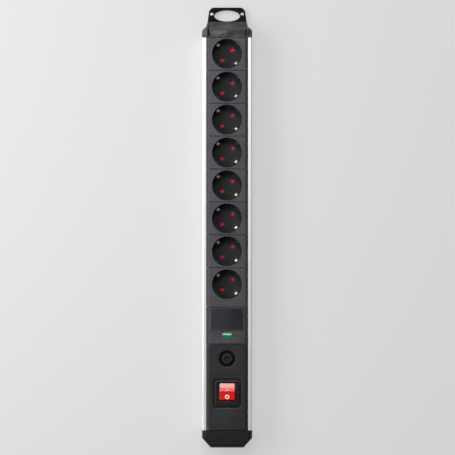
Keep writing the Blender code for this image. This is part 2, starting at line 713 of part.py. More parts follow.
def surge_filter():
    """The surge panel, its label plate and lamp, and the board that hangs on the panel's four posts."""
    body = panel("surge_panel", control_y, surge_y)
    window = box("window", (-LAMP_WIDTH / 2 - CLEARANCE, lamp_y - LAMP_LENGTH / 2 - CLEARANCE,
                            panel_under_z - OVERRUN),
                 (LAMP_WIDTH / 2 + CLEARANCE, lamp_y + LAMP_LENGTH / 2 + CLEARANCE, face_z + OVERRUN))
    cut(body, window)
    post_x = BOARD_WIDTH / 2 - POST_INSET
    post_y = BOARD_LENGTH / 2 - POST_INSET
    for side_x in (1, -1):
        for side_y in (1, -1):
            place = (side_x * post_x, board_y + side_y * post_y, 0.0)
            join(body, cylinder("post", POST_RADIUS, "Z", board_top_z + CLEARANCE,
                                panel_under_z + FLANGE_THICKNESS / 2, place, SMALL))
    part("surge_panel", body, BLACK_PLASTIC)

    plate_y = surge_y - PLATE_SETBACK - PLATE_LENGTH / 2
    plate = prism("plate", [rounded_rectangle(PLATE_WIDTH, PLATE_LENGTH, PLATE_CORNER, (0.0, plate_y))], "Z",
                  face_z + CLEARANCE, face_z + CLEARANCE + PLATE_THICKNESS)
    part("label_plate", plate, BLACK_PLASTIC)

    lens_under_z = panel_under_z - CLEARANCE - LAMP_FLANGE
    half = LAMP_LENGTH / 2
    crown = (half * half + LAMP_RISE * LAMP_RISE) / (2 * LAMP_RISE)
    swing = math.asin(half / crown)
    crown_centre = (lamp_y, face_z + LAMP_RISE - crown)
    top = arc(crown_centre, crown, math.pi / 2 - swing, math.pi / 2 + swing, RAMP_STEPS)
    lens = prism("lens", [[(lamp_y - half, lens_under_z), (lamp_y + half, lens_under_z), *top]], "X",
                 -LAMP_WIDTH / 2, LAMP_WIDTH / 2)
    flange = box("lens_flange", (-LAMP_WIDTH / 2 - LAMP_FLANGE, lamp_y - half - LAMP_FLANGE,
                                 lens_under_z - LAMP_FLANGE),
                 (LAMP_WIDTH / 2 + LAMP_FLANGE, lamp_y + half + LAMP_FLANGE, panel_under_z - CLEARANCE))
    part("lamp_lens", join(lens, flange), LAMP_GREEN)

    board = box("board", (-BOARD_WIDTH / 2, board_y - BOARD_LENGTH / 2, board_under_z),
                (BOARD_WIDTH / 2, board_y + BOARD_LENGTH / 2, board_top_z))
    part("surge_board", board, BOARD_GREEN)
    led = cylinder("led", LED_RADIUS, "Z", board_top_z + CLEARANCE, lens_under_z - LAMP_FLANGE - CLEARANCE,
                   (0.0, lamp_y, 0.0), SMALL)
    part("surge_led", led, LAMP_GREEN)
    for index in range(VARISTOR_COUNT):
        middle = board_y + (index - (VARISTOR_COUNT - 1) / 2) * VARISTOR_PITCH
        disc = cylinder("disc", VARISTOR_RADIUS, "Y", middle - VARISTOR_THICKNESS / 2,
                        middle + VARISTOR_THICKNESS / 2, (0.0, 0.0, varistor_z))
        part(f"varistor_{index + 1}", disc, VARISTOR_BLUE)


def blade(name, body, x, y, under_z):
    """A push-on terminal that stands in a slot in the underside of a body."""
    low = Vector((x - BLADE_THICKNESS / 2, y - BLADE_WIDTH / 2, under_z + BLADE_SEAT - BLADE_LENGTH))
    high = Vector((x + BLADE_THICKNESS / 2, y + BLADE_WIDTH / 2, under_z + BLADE_SEAT))
    room = Vector((CLEARANCE, CLEARANCE, CLEARANCE))
    cut(body, box("blade_slot", low - room, high + room))
    part(name, box("blade", low, high), BRASS)
    return Vector((x, y, low.z))


def breaker():
    """The overload breaker: body with a neck through the panel, ring nut, button and two terminals."""
    body = box("breaker", (-BREAKER_WIDTH / 2, breaker_y - BREAKER_LENGTH / 2, breaker_under_z),
               (BREAKER_WIDTH / 2, breaker_y + BREAKER_LENGTH / 2, breaker_top_z))
    place = (0.0, breaker_y, 0.0)
    button_top_z = collar_top_z + BUTTON_RISE
    button_under_z = button_top_z - BUTTON_DEPTH
    join(body, cylinder("neck", NECK_RADIUS, "Z", breaker_top_z - OVERRUN, collar_top_z, place))
    cut(body, cylinder("button_bore", BUTTON_RADIUS + CLEARANCE, "Z", button_under_z - CLEARANCE,
                       button_top_z + OVERRUN, place))
    ends = [
        blade(f"breaker_terminal_{index + 1}", body, pin_offset, breaker_y + side * BREAKER_BLADE_SPREAD,
              breaker_under_z)
        for index, side in enumerate((-1, 1))
    ]
    part("breaker_body", body, BEZEL_PLASTIC)
    ring = [circle((0.0, breaker_y), radius, ROUND) for radius in (COLLAR_RADIUS, NECK_RADIUS + CLEARANCE)]
    part("breaker_nut", prism("nut", ring, "Z", collar_under_z, collar_top_z), BEZEL_PLASTIC)
    button = cylinder("button", BUTTON_RADIUS, "Z", 0.0, BUTTON_DEPTH)
    part("breaker_button", button, BEZEL_PLASTIC, (0.0, breaker_y, button_under_z))
    return ends


def rocker_outline():
    """Section of the rocker about its pivot: round ends and two faces that meet in a low ridge."""
    first = -ROCKER_END_DROP
    last = ROCKER_END_RISE
    right = arc((0.0, 0.0), ROCKER_RADIUS, first, last, CORNER_STEPS)
    left = arc((0.0, 0.0), ROCKER_RADIUS, math.pi - last, math.pi - first, CORNER_STEPS)
    return right + [(0.0, ROCKER_CROWN)] + left


def switch():
    """The switch: bezel and body in one, the rocker on its two stub pivots, and four terminals."""
    body = box("switch", (-switch_half_width, rocker_y - switch_half_length, switch_under_z),
               (switch_half_width, rocker_y + switch_half_length, bezel_under_z + BEZEL_THICKNESS / 2))
    frame = rounded_rectangle(BEZEL_WIDTH, BEZEL_LENGTH, BEZEL_CORNER, (0.0, switch_y))
    bezel = prism("bezel", [frame], "Z", bezel_under_z, bezel_top_z)
    room = box("rocker_room", (-ROCKER_WIDTH / 2 - CLEARANCE, rocker_y - rocker_room_half, rocker_floor_z),
               (ROCKER_WIDTH / 2 + CLEARANCE, rocker_y + rocker_room_half, bezel_top_z + OVERRUN))
    pivot_half = ROCKER_WIDTH / 2 + PIVOT_REACH
    seat_half = pivot_half + CLEARANCE
    seat = cylinder("pivot_seat", PIVOT_RADIUS + CLEARANCE, "X", -seat_half, seat_half,
                    (0.0, rocker_y, pivot_z), SMALL)
    join(body, bezel)
    cut(body, room, seat)
    ends = {}
    for index, (side_x, side_y) in enumerate([(1, -1), (1, 1), (-1, -1), (-1, 1)]):
        ends[side_x, side_y] = blade(f"switch_terminal_{index + 1}", body, side_x * pin_offset,
                                     rocker_y + side_y * SWITCH_BLADE_SPREAD, switch_under_z)
    part("switch_body", body, BEZEL_PLASTIC)
    shape = prism("rocker_shape", [rocker_outline()], "X", -ROCKER_WIDTH / 2, ROCKER_WIDTH / 2)
    join(shape, cylinder("pivot", PIVOT_RADIUS, "X", -pivot_half, pivot_half, segments=SMALL))
    rocker = part("rocker", tool("rocker", realised(shape)), ROCKER_RED, (0.0, rocker_y, pivot_z))
    rocker.rotation_euler.x = -ROCKER_TILT
    return ends


def control_panel():
    """The panel over the breaker and the switch, with a round and a square recess."""
    body = panel("control_panel", foot_y, control_y)
    place = (0.0, breaker_y, 0.0)
    round_recess = cylinder("round_recess", BREAKER_RECESS_RADIUS, "Z", breaker_floor_z, face_z + OVERRUN,
                            place, FINE)
    neck_hole = cylinder("neck_hole", NECK_RADIUS + CLEARANCE, "Z", panel_under_z - OVERRUN,
                         breaker_floor_z + OVERRUN, place)
    square = rounded_rectangle(RECESS_WIDTH, RECESS_LENGTH, RECESS_CORNER, (0.0, switch_y))
    square_recess = prism("square_recess", [square], "Z", recess_z, face_z + OVERRUN)
    half_x = switch_half_width + CLEARANCE
    half_y = switch_half_length + CLEARANCE
    opening = box("switch_opening", (-half_x, rocker_y - half_y, panel_under_z - OVERRUN),
                  (half_x, rocker_y + half_y, recess_z + OVERRUN))
    part("control_panel", cut(body, round_recess, neck_hole, square_recess, opening), BLACK_PLASTIC)


def cap_screws(name, seat_y, way):
    """Two self-tapping screws along the strip, from a seat in a cap into the channel's screw ports."""
    channel_end = head_y if way > 0 else foot_y
    for label, side in (("left", -1), ("right", 1)):
        place = (side * PORT_OFFSET, 0.0, port_z)
        tip = channel_end - way * CAP_SCREW_GRIP
        top = seat_y + way * CAP_SCREW_HEAD_HEIGHT
        shank = cylinder("shank", CAP_SCREW_RADIUS, "Y", min(tip, top), max(tip, top), place, SMALL)
        head = cylinder("screw_head", CAP_SCREW_HEAD_RADIUS, "Y", min(seat_y, top), max(seat_y, top), place,
                        SMALL)
        part(f"{name}_screw_{label}", join(head, shank), STEEL)


def eased(first, last, share):
    """A value that runs in an even S from first to last."""
    return first + (last - first) * (0.5 - 0.5 * math.cos(math.pi * share))


def head_cap():
    """The cap at the head: a hood that ramps down to the bracket, between two cheeks."""
    shares = [step / RAMP_STEPS for step in range(RAMP_STEPS + 1)]
    shoulder = [(eased(half_width, SHOULDER_HALF, share), head_y + SHOULDER_LENGTH + SHOULDER_RUN * share)
                for share in shares]
    plan = mirrored([(half_width, head_y + CLEARANCE), *shoulder, (TOE_HALF, toe_y)])
    ramp = [(head_y + HOOD_LENGTH + HOOD_RAMP * share, eased(face_z, toe_z, share)) for share in shares]
    side = [(head_y - OVERRUN, 0.0), (toe_y + OVERRUN, 0.0), (toe_y + OVERRUN, toe_z), *ramp[::-1],
            (head_y - OVERRUN, face_z)]
    body = prism("head_plan", [plan], "Z", -OVERRUN, face_z + OVERRUN)
    keep(body, prism("head_side", [side], "X", -STRIP_WIDTH, STRIP_WIDTH))
    rib = [(y, z + RIB_RISE) for y, z in ramp[1:-1]]
    rib += [(y, z - RIB_RISE) for y, z in ramp[-2:0:-1]]
    for middle in (-RIB_OFFSET, 0.0, RIB_OFFSET):
        join(body, prism("rib", [rib], "X", middle - RIB_WIDTH / 2, middle + RIB_WIDTH / 2))
    scallop_radius = (SCALLOP_HALF ** 2 + SCALLOP_HEIGHT ** 2) / (2 * SCALLOP_HEIGHT)
    cut(body, cylinder("scallop", scallop_radius, "Z", face_z - SCALLOP_DEPTH, face_z + OVERRUN,
                       (0.0, head_y + SCALLOP_HEIGHT - scallop_radius, 0.0), FINE))
    hook_end = head_wall_y + HOOK_THICKNESS + 2 * CLEARANCE
    tongue_z = BRACKET_THICKNESS + CLEARANCE
    slot = [(head_wall_y, -OVERRUN), (toe_y + OVERRUN, -OVERRUN), (toe_y + OVERRUN, tongue_z),
            (hook_end, tongue_z), (hook_end, HOOK_HEIGHT + CLEARANCE),
            (head_wall_y, HOOK_HEIGHT + CLEARANCE)]
    cut(body, prism("tongue_slot", [slot], "X", -TONGUE_HALF - CLEARANCE, TONGUE_HALF + CLEARANCE))
    cut(body, box("head_core", (-inner_half, head_y - OVERRUN, HOOK_HEIGHT + HEAD_WALL),
                  (inner_half, head_y + HEAD_CORE_LENGTH, ledge_under_z)))
    for hand in (-1, 1):
        step = sorted((hand * face_base_half, hand * STRIP_WIDTH))
        cut(body, box("rail_step", (step[0], head_y - OVERRUN, CHANNEL_HEIGHT),
                      (step[1], head_tip_y, face_z + OVERRUN)))
        groove = hand * CHEEK_GROOVE_OFFSET
        cut(body, box("cheek_groove", (groove - CHEEK_GROOVE_WIDTH / 2, head_y - OVERRUN,
                                       CHANNEL_HEIGHT - CHEEK_GROOVE_DEPTH),
                      (groove + CHEEK_GROOVE_WIDTH / 2, head_y + CHEEK_GROOVE_LENGTH, face_z + OVERRUN)))
        place = (hand * PORT_OFFSET, 0.0, port_z)
        cut(body, cylinder("screw_hole", CAP_SCREW_RADIUS + CLEARANCE, "Y", head_y - OVERRUN,
                           head_wall_y + OVERRUN, place, SMALL))
        cut(body, cylinder("screw_tunnel", CAP_SCREW_HEAD_RADIUS + CLEARANCE, "Y", head_wall_y,
                           toe_y + OVERRUN, place, SMALL))
    part("head_cap", body, BLACK_PLASTIC)
    cap_screws("head", head_wall_y + CLEARANCE, 1)


def hanging_bracket():
    """The flat bracket with the hanging eye: its tongue and hook press into the head cap from behind."""
    corner = (BRACKET_TIP_HALF - BRACKET_CORNER, head_tip_y - BRACKET_CORNER)
    plan = mirrored([(TOE_HALF, toe_y + CLEARANCE),
                     *arc(corner, BRACKET_CORNER, 0.0, math.pi / 2, 2 * CORNER_STEPS)])
    body = prism("bracket", [plan], "Z", 0.0, BRACKET_THICKNESS)
    hook_y = head_wall_y + CLEARANCE
    tongue_top_z = BRACKET_THICKNESS - CLEARANCE
    hook_end = hook_y + HOOK_THICKNESS
    tongue = [(hook_y, CLEARANCE), (eye_y, CLEARANCE), (eye_y, tongue_top_z), (hook_end, tongue_top_z),
              (hook_end, HOOK_HEIGHT), (hook_y, HOOK_HEIGHT)]
    join(body, prism("tongue", [tongue], "X", -TONGUE_HALF, TONGUE_HALF))
    eye = [(EYE_WIDTH / 2 * math.cos(angle), eye_y + EYE_LENGTH / 2 * math.sin(angle))
           for angle in (2 * math.pi * step / FINE for step in range(FINE))]
    cut(body, prism("eye", [eye], "Z", -OVERRUN, BRACKET_THICKNESS + OVERRUN))
    for hand in (-1, 1):
        cut(body, cylinder("fixing_hole", FIXING_SHANK_RADIUS + CLEARANCE, "Z", -OVERRUN,
                           BRACKET_THICKNESS + OVERRUN, (hand * FIXING_OFFSET, fixing_y, 0.0), SMALL))
    part("hanging_bracket", body, BLACK_PLASTIC)
    seat_z = BRACKET_THICKNESS + CLEARANCE
    for label, hand in (("left", -1), ("right", 1)):
        screw = turned("fixing", [
            (0.0, seat_z + FIXING_HEAD_HEIGHT),
            (FIXING_CROWN_RADIUS, seat_z + FIXING_HEAD_HEIGHT),
            (FIXING_HEAD_RADIUS, seat_z + FIXING_HEAD_HEIGHT / 2),
            (FIXING_HEAD_RADIUS, seat_z),
            (FIXING_SHANK_RADIUS, seat_z),
            (FIXING_SHANK_RADIUS, CLEARANCE),
            (0.0, CLEARANCE),
        ], (hand * FIXING_OFFSET, fixing_y), ROUND)
        part(f"fixing_screw_{label}", screw, STEEL)


def foot_cap():
    """The cap at the foot: cut corners, a bevelled top edge, a cord inlet and two deep screw holes."""
    start = foot_y - CLEARANCE
    side_end = foot_y - FOOT_SIDE
    plan = mirrored([(FOOT_END_HALF, foot_tip_y), (half_width, side_end), (half_width, start)])
    body = prism("foot_plan", [plan], "Z", 0.0, face_z)
    bevel_top_edges(body.data, start)
    deep = foot_tip_y + FOOT_WALL
    cut(body, box("wide_pocket", (-inner_half, foot_y - FOOT_POCKET_LENGTH, port_top_z + FOOT_WALL / 2),
                  (inner_half, foot_y + OVERRUN, ledge_under_z)))
    pocket_half = PORT_OFFSET - CAP_SCREW_HEAD_RADIUS - FOOT_WALL / 2
    cut(body, box("deep_pocket", (-pocket_half, deep, FOOT_WALL),
                  (pocket_half, foot_y + OVERRUN, ledge_under_z - CLEARANCE)))
    cut(body, cylinder("inlet", GROMMET_RADIUS + CLEARANCE, "Y", foot_tip_y - OVERRUN, deep + OVERRUN,
                       (0.0, 0.0, INLET_HEIGHT)))
    lip_depth = GROMMET_LIP_THICKNESS + CLEARANCE
    cut(body, cylinder("inlet_lip", GROMMET_RADIUS + GROMMET_LIP + CLEARANCE, "Y", foot_tip_y - OVERRUN,
                       foot_tip_y + lip_depth, (0.0, 0.0, INLET_HEIGHT)))
    seat_y = foot_y - FOOT_SCREW_SEAT
    for hand in (-1, 1):
        place = (hand * PORT_OFFSET, 0.0, port_z)
        cut(body, cylinder("screw_hole", CAP_SCREW_RADIUS + CLEARANCE, "Y", seat_y - OVERRUN,
                           foot_y + OVERRUN, place, SMALL))
        cut(body, cylinder("screw_well", CAP_SCREW_HEAD_RADIUS + CLEARANCE, "Y", foot_tip_y - OVERRUN,
                           seat_y, place, SMALL))
    part("foot_cap", body, BLACK_PLASTIC)
    cap_screws("foot", seat_y - CLEARANCE, -1)

    bush = cylinder("bush", GROMMET_RADIUS, "Y", foot_tip_y + lip_depth / 2, deep + GROMMET_LIP,
                    (0.0, 0.0, INLET_HEIGHT))
    lip = cylinder("lip", GROMMET_RADIUS + GROMMET_LIP, "Y", foot_tip_y, foot_tip_y + GROMMET_LIP_THICKNESS,
                   (0.0, 0.0, INLET_HEIGHT))
    bore = cylinder("bore", GROMMET_BORE, "Y", foot_tip_y - OVERRUN, deep + GROMMET_LIP + OVERRUN,
                    (0.0, 0.0, INLET_HEIGHT))
    part("cord_grommet", cut(join(lip, bush), bore), RUBBER)


def bevel_top_edges(mesh, mating_y):
    """Bevel the upper rim of the foot cap, apart from the edge that meets the channel."""
    work = bmesh.new()
    work.from_mesh(mesh)
    rim = [edge for edge in work.edges
           if all(vert.co.z > face_z - OVERRUN for vert in edge.verts)
           and any(vert.co.y < mating_y - OVERRUN for vert in edge.verts)
           and len({face.normal.z > 0.5 for face in edge.link_faces}) == 2]
    bmesh.ops.bevel(work, geom=rim, offset=FOOT_BEVEL, segments=2, profile=0.5, affect="EDGES",
                    clamp_overlap=True)
    work.to_mesh(mesh)
    work.free()


def terminal_block():
    """The block that the supply cores are screwed into, with three bores for leads and three screw wells."""
    under_z = CHANNEL_WALL + CLEARANCE
    body = box("block", (-BLOCK_WIDTH / 2, block_y - BLOCK_LENGTH / 2, under_z),
               (BLOCK_WIDTH / 2, block_y + BLOCK_LENGTH / 2, under_z + BLOCK_HEIGHT))
    for side in (-1, 0, 1):
        cut(body, cylinder("lead_bore", LEAD_RADIUS + CLEARANCE, "Y", block_y - BLOCK_LENGTH / 2 - OVERRUN,
                           block_y + BLOCK_LENGTH / 2 + OVERRUN, (side * pin_offset, 0.0, lead_z), SMALL))
        cut(body, cylinder("screw_well", BLOCK_SCREW_RADIUS, "Z", under_z + BLOCK_HEIGHT - BLOCK_SCREW_DEPTH,
                           under_z + BLOCK_HEIGHT + OVERRUN, (side * pin_offset, block_y, 0.0), SMALL))
    part("terminal_block", body, WHITE_PLASTIC)
    return block_y + BLOCK_LENGTH / 2 - LEAD_GRIP


def leads(block_end, switch_ends, breaker_ends):
    """The wiring: block, switch, breaker and bars, and the earth core from the block to the earth bar."""
    bar_end = sockets_y - CLEARANCE

    def under(end):
        """Straight down from the tip of a blade to the run on the floor."""
        return [Vector((end.x, end.y, end.z - CLEARANCE)), Vector((end.x, end.y, lead_z))]

    def beside(end, way):
        """From the edge of a blade: level at first, then down to the run on the floor."""
        edge = end.y + way * (BLADE_WIDTH / 2 + CLEARANCE)
        level = edge + way * LEAD_START
        middle_z = end.z + (BLADE_LENGTH - BLADE_SEAT) / 2
        return [Vector((end.x, edge, middle_z)), Vector((end.x, level, middle_z)),
                Vector((end.x, level + way * LEAD_RAMP, lead_z))]

    def along(route, y):
        return route + [Vector((route[-1].x, y, lead_z))]

    routes = [
        ("live_supply_lead", along(under(switch_ends[1, -1]), block_end), BROWN_LEAD),
        ("neutral_supply_lead", along(under(switch_ends[-1, -1]), block_end), BLUE_LEAD),
        ("switched_live_lead", under(switch_ends[1, 1]) + beside(breaker_ends[0], -1)[::-1], BROWN_LEAD),
        ("breaker_lead", along(beside(breaker_ends[1], 1), bar_end), BROWN_LEAD),
        ("switched_neutral_lead", along(under(switch_ends[-1, 1]), bar_end), BLUE_LEAD),
        ("earth_lead", [Vector((0.0, block_end, lead_z)), Vector((0.0, bar_end, lead_z))], EARTH_LEAD),
    ]
    for name, route, finish in routes:
        part(name, tube(name, route, LEAD_RADIUS), finish)


channel()
socket_inserts()
shutters()
contact_carrier()
earth_busbar()
live_busbar("line_busbar", 1)
live_busbar("neutral_busbar", -1)
surge_filter()
control_panel()
breaker_leads = breaker()
switch_leads = switch()
head_cap()
hanging_bracket()
foot_cap()
leads(terminal_block(), switch_leads, breaker_leads)
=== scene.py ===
"""Looks of a rack power strip: moulded faces, sockets, switch, caps and finishes, and a plain studio.

Laid out as an add-on and run as a script. Metres; X runs across the strip, Y along it towards the hanging
eye, Z out of the sockets. New surfaces are worked out with numpy from rings of points. The channel, the
caps, the bracket, the shutters and the breaker's body are copies of their solids with rounded edges.
"""
import json
import math

import bmesh
import bpy
import numpy as np
from bpy.props import FloatProperty, FloatVectorProperty, PointerProperty
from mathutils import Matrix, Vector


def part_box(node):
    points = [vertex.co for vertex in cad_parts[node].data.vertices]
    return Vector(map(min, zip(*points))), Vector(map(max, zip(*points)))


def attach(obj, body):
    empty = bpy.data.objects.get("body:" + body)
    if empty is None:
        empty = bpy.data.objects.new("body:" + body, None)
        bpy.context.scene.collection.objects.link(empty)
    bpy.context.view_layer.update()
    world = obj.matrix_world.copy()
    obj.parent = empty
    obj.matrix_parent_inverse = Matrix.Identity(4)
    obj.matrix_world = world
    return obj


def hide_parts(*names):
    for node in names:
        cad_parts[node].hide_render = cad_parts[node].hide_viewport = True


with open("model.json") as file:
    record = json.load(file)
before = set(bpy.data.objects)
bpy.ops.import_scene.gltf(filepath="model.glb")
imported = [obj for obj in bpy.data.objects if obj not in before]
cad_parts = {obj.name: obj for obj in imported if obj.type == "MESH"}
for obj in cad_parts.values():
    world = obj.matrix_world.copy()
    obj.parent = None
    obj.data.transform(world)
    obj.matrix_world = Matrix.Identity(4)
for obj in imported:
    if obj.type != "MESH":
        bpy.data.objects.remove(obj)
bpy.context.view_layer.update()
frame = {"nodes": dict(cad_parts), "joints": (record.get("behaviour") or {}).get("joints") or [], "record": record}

bl_info = {
    "name": "Rack Power Strip Looks",
    "version": (1, 0, 0),
    "blender": (4, 5, 0),
    "location": "3D View > Sidebar > Power Strip",
    "description": "Moulded faces, sockets, switch, caps and finishes of a rack power strip",
    "category": "Object",
}

BOX = {name: np.array(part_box(name), dtype=float) for name in frame["nodes"]}
PIVOT = np.array(next(joint["pos_m"] for joint in frame["joints"] if joint["name"] == "rocker_hinge"))
SOCKETS = range(1, 9)
SOCKET_Y = {index: BOX[f"shutter_{index}"].mean(axis=0)[1] for index in SOCKETS}
MM = 0.001

# Levels and half widths that the moulded faces share
FACE_Z = BOX["control_panel"][1, 2]
UNDER_Z = BOX["control_panel"][0, 2]
FLANGE_HALF = BOX["control_panel"][1, 0]
HALF_WIDTH = BOX["aluminium_channel"][1, 0]
FLANGE_THICKNESS = 2.4 * MM
RAIL_WIDTH = 5.8 * MM
RAIL_CLEARANCE = 0.2 * MM
FLANGE_TOP_Z = UNDER_Z + FLANGE_THICKNESS
BASE_HALF = HALF_WIDTH - RAIL_WIDTH
SLOPE_Z = BOX["aluminium_channel"][1, 2] + RAIL_CLEARANCE
SLOPE_RISE = FACE_Z - SLOPE_Z
SLOPE_RUN = 3.5 * MM
SLOPE_TURN = math.atan2(SLOPE_RISE, SLOPE_RUN)

# How surfaces are made
WELD = 1.5e-6             # points closer than this are one
STEP = 0.05 * MM          # keeps rings apart that would fall together
SLIVER = 0.02 * MM        # a cut this close to a point passes through it
BEND_STEP = 1.8 * MM      # between the cuts through a solid that is bent
SHARP = 38.0              # edges that turn by more, in degrees, stay sharp
EASED_SHARP = 28.0        # the same on copies of solids
FLAT_TURN = 0.6           # faces of a solid that turn by less are one
EDGE_SEGMENTS = 3
CHANNEL_ROUND = 0.25 * MM
CORNER_SHARE = 0.2        # of a side of a soft rectangle, for each of its corners
ROUND_OFF = 1e-9
EVEN = np.radians(np.arange(-45.0, 315.0, 2.5))
FINE = np.radians(np.arange(0.0, 360.0, 1.25))
COARSE = np.radians(np.arange(0.0, 360.0, 3.0))


def length(name, description, default):
    """A length in metres that a user may set."""
    return FloatProperty(name=name, description=description, default=default, unit="LENGTH", precision=5)


def colour(name, description, default):
    """A colour, in linear light, that a user may set."""
    return FloatVectorProperty(name=name, description=description, default=default, subtype="COLOR", size=3,
                               min=0.0, max=1.0)


class StripSizes(bpy.types.PropertyGroup):
    """Sizes of the fine shapes on the strip"""
    edge_round: length("Face edge", "Rounding where the face turns into its sloping edges", 1.2 * MM)
    lip_round: length("Well lip", "Rounding of the mouth of a socket", 0.8 * MM)
    lip_bead: length("Well bead", "Height of the bead round a socket", 0.45 * MM)
    well_radius: length("Well radius", "Inner radius of a socket", 20.0 * MM)
    well_depth: length("Well depth", "Floor of a socket below the face", 17.5 * MM)
    pin_spacing: length("Pin spacing", "Distance between the two pin holes", 19.0 * MM)
    pin_radius: length("Pin hole", "Radius of a pin hole", 2.7 * MM)
    recess_round: length("Recess edge", "Rounding of the breaker's and the switch's recess", 1.1 * MM)
    bezel_round: length("Bezel edge", "Rounding of the switch's bezel", 0.9 * MM)
    rocker_round: length("Rocker edge", "Rounding of the rocker's edges", 0.6 * MM)
    cap_round: length("Cap edge", "Rounding of the end caps' edges", 0.5 * MM)
    grain: length("Grain", "Grain of the moulded black faces", 0.45 * MM)


class StripColours(bpy.types.PropertyGroup):
    """Colours of the strip's finishes"""
    face: colour("Face", "Moulded black of the sockets", (0.050, 0.051, 0.061))
    surge: colour("Surge panel", "Moulded black of the surge panel", (0.041, 0.042, 0.050))
    control: colour("Control panel", "Moulded black of the control panel", (0.020, 0.021, 0.024))
    cap: colour("Head cap", "Moulded black of the head cap", (0.045, 0.044, 0.044))
    # The foot cap's black is deeper than the head cap's; this paints the shade where the light falls off towards
    # the foot.
    foot: colour("Foot cap", "Moulded black of the foot cap", (0.011, 0.0107, 0.0107))
    # The bracket's black is deeper than the cap's, partly as painted shade, since the bracket lies lower than the
    # hood.
    bracket: colour("Bracket", "Smooth black of the bracket", (0.005, 0.005, 0.005))
    plate: colour("Plate", "Bare dark plate over the lamp", (0.019, 0.020, 0.027))
    switch: colour("Switch", "Smooth black of switch and breaker", (0.010, 0.010, 0.012))
    nut: colour("Ring nut", "Black of the breaker's ring nut", (0.028, 0.028, 0.030))
    button: colour("Button", "Dull black of the breaker's button", (0.006, 0.006, 0.006))
    # Painted shade: this near-black darkens the breaker's shallow recess as the shade in a deep one would.
    lining: colour("Lining", "Dull black in the breaker's recess", (0.005, 0.005, 0.005))
    aluminium: colour("Aluminium", "Anodised channel", (0.90, 0.90, 0.91))
    shutter: colour("Shutters", "Red behind the pin holes", (0.75, 0.012, 0.045))
    rocker: colour("Rocker", "Red of the rocker", (0.74, 0.004, 0.001))
    mark: colour("Marks", "Marks on the rocker", (0.86, 0.84, 0.82))
    lamp: colour("Lamp", "Green of the lamp", (0.0, 0.25, 0.085))
    tin: colour("Tin", "Tinned earth clips", (0.70, 0.66, 0.58))
    brass: colour("Brass", "Live bars and terminals", (0.78, 0.58, 0.28))
    zinc: colour("Zinc", "Screws", (0.80, 0.80, 0.79))
    insulator: colour("Insulator", "Grey plate under the live bars", (0.30, 0.30, 0.29))
    block: colour("Terminal block", "White block of the supply's terminals", (0.74, 0.73, 0.69))
    lacquer: colour("Board", "Green lacquer of the circuit board", (0.010, 0.10, 0.045))
    track: colour("Tracks", "Paler green over the board's tracks", (0.03, 0.20, 0.08))
    varistor: colour("Varistors", "Dipped blue of the surge filter's discs", (0.03, 0.10, 0.38))
    rubber: colour("Rubber", "Black bush of the cord inlet", (0.016, 0.016, 0.016))
    live: colour("Live leads", "Brown insulation", (0.16, 0.06, 0.02))
    neutral: colour("Neutral leads", "Blue insulation", (0.03, 0.10, 0.42))
    earth: colour("Earth lead", "Yellow insulation", (0.62, 0.55, 0.02))
    stripe: colour("Earth stripe", "Green on the yellow insulation", (0.05, 0.28, 0.04))


class StripStage(bpy.types.PropertyGroup):
    """Camera and light"""
    camera_height: length("Camera height", "Camera above the floor", 3.2)
    field: length("Field", "Width of the picture at the strip's face", 0.612)
    key_power: FloatProperty(name="Key", description="Power of the large soft light, in watts", default=8.6)
    accent_power: FloatProperty(name="Accent", description="Power of the light beyond the head, in watts",
                                default=27.0)
    ambient: FloatProperty(name="Ambient", description="Even light from all round", default=0.22,
                           subtype="FACTOR")
    floor: colour("Floor", "Pale floor", (0.70, 0.70, 0.70))


# Rings of points and the surfaces between them

def quarters(angles):
    """The side of a four-sided ring that each angle is on, from the corner at -45 degrees, and how far along
    that side it is, from 0 to 1."""
    turn = (angles + math.pi / 4) / (math.pi / 2)
    whole = np.floor(turn + ROUND_OFF)
    return whole.astype(int) % 4, turn - whole


def box_ring(half, low_y, high_y, z, angles=EVEN):
    """A rectangle: each side is run through evenly while the angle turns a quarter."""
    side, share = quarters(angles)
    span = high_y - low_y
    still = 0 * share
    x = np.choose(side, [half + still, half - 2 * half * share, -half + still, -half + 2 * half * share])
    y = np.choose(side, [low_y + span * share, high_y + still, high_y - span * share, low_y + still])
    return np.stack([x, y, np.full_like(x, z)], axis=-1)


def round_ring(radius, centre, z, angles=EVEN):
    """A circle: centre plus radius times cosine and sine of the angle. Radius and height may vary with it."""
    x = centre[0] + radius * np.cos(angles)
    y = centre[1] + radius * np.sin(angles)
    return np.stack([x, y, z + 0 * x], axis=-1)


def soft_ring(half, corner, centre, z, angles=EVEN):
    """A rectangle with round corners: an inner rectangle plus the corner's radius along a turning direction.
    On each side the direction turns 45 degrees, stands still along the straight and turns 45 degrees more."""
    side, share = quarters(angles)
    first = np.clip(share / CORNER_SHARE - 1.0, -1.0, 0.0)
    last = np.clip((share - 1.0) / CORNER_SHARE + 1.0, 0.0, 1.0)
    along = 2.0 * np.clip((share - CORNER_SHARE) / (1.0 - 2.0 * CORNER_SHARE), 0.0, 1.0) - 1.0
    facing = side * math.pi / 2 + (first + last) * math.pi / 4
    inner_x, inner_y = half[0] - corner, half[1] - corner
    still = 0 * along
    x = np.choose(side, [inner_x + still, -along * inner_x, -inner_x + still, along * inner_x])
    y = np.choose(side, [along * inner_y, inner_y + still, -along * inner_y, -inner_y + still])
    return round_ring(corner, (centre[0] + x, centre[1] + y), z, facing)


def pole(centre, z):
    """A ring drawn together into one point, which closes a stack."""
    return np.tile([*centre, z], (len(EVEN), 1))


def shoulder(radius, steps):
    """Pairs (inset, drop) over a rounded edge from its wall to its flat, along a quarter circle."""
    turn = np.linspace(0.0, math.pi / 2, steps)
    return list(zip(radius * (1.0 - np.cos(turn)), radius * (1.0 - np.sin(turn))))


def mouth(radius, steps):
    """Pairs (outset, drop) over the rounded edge of a hole, from the flat to the hole's wall."""
    return shoulder(radius, steps)[::-1]


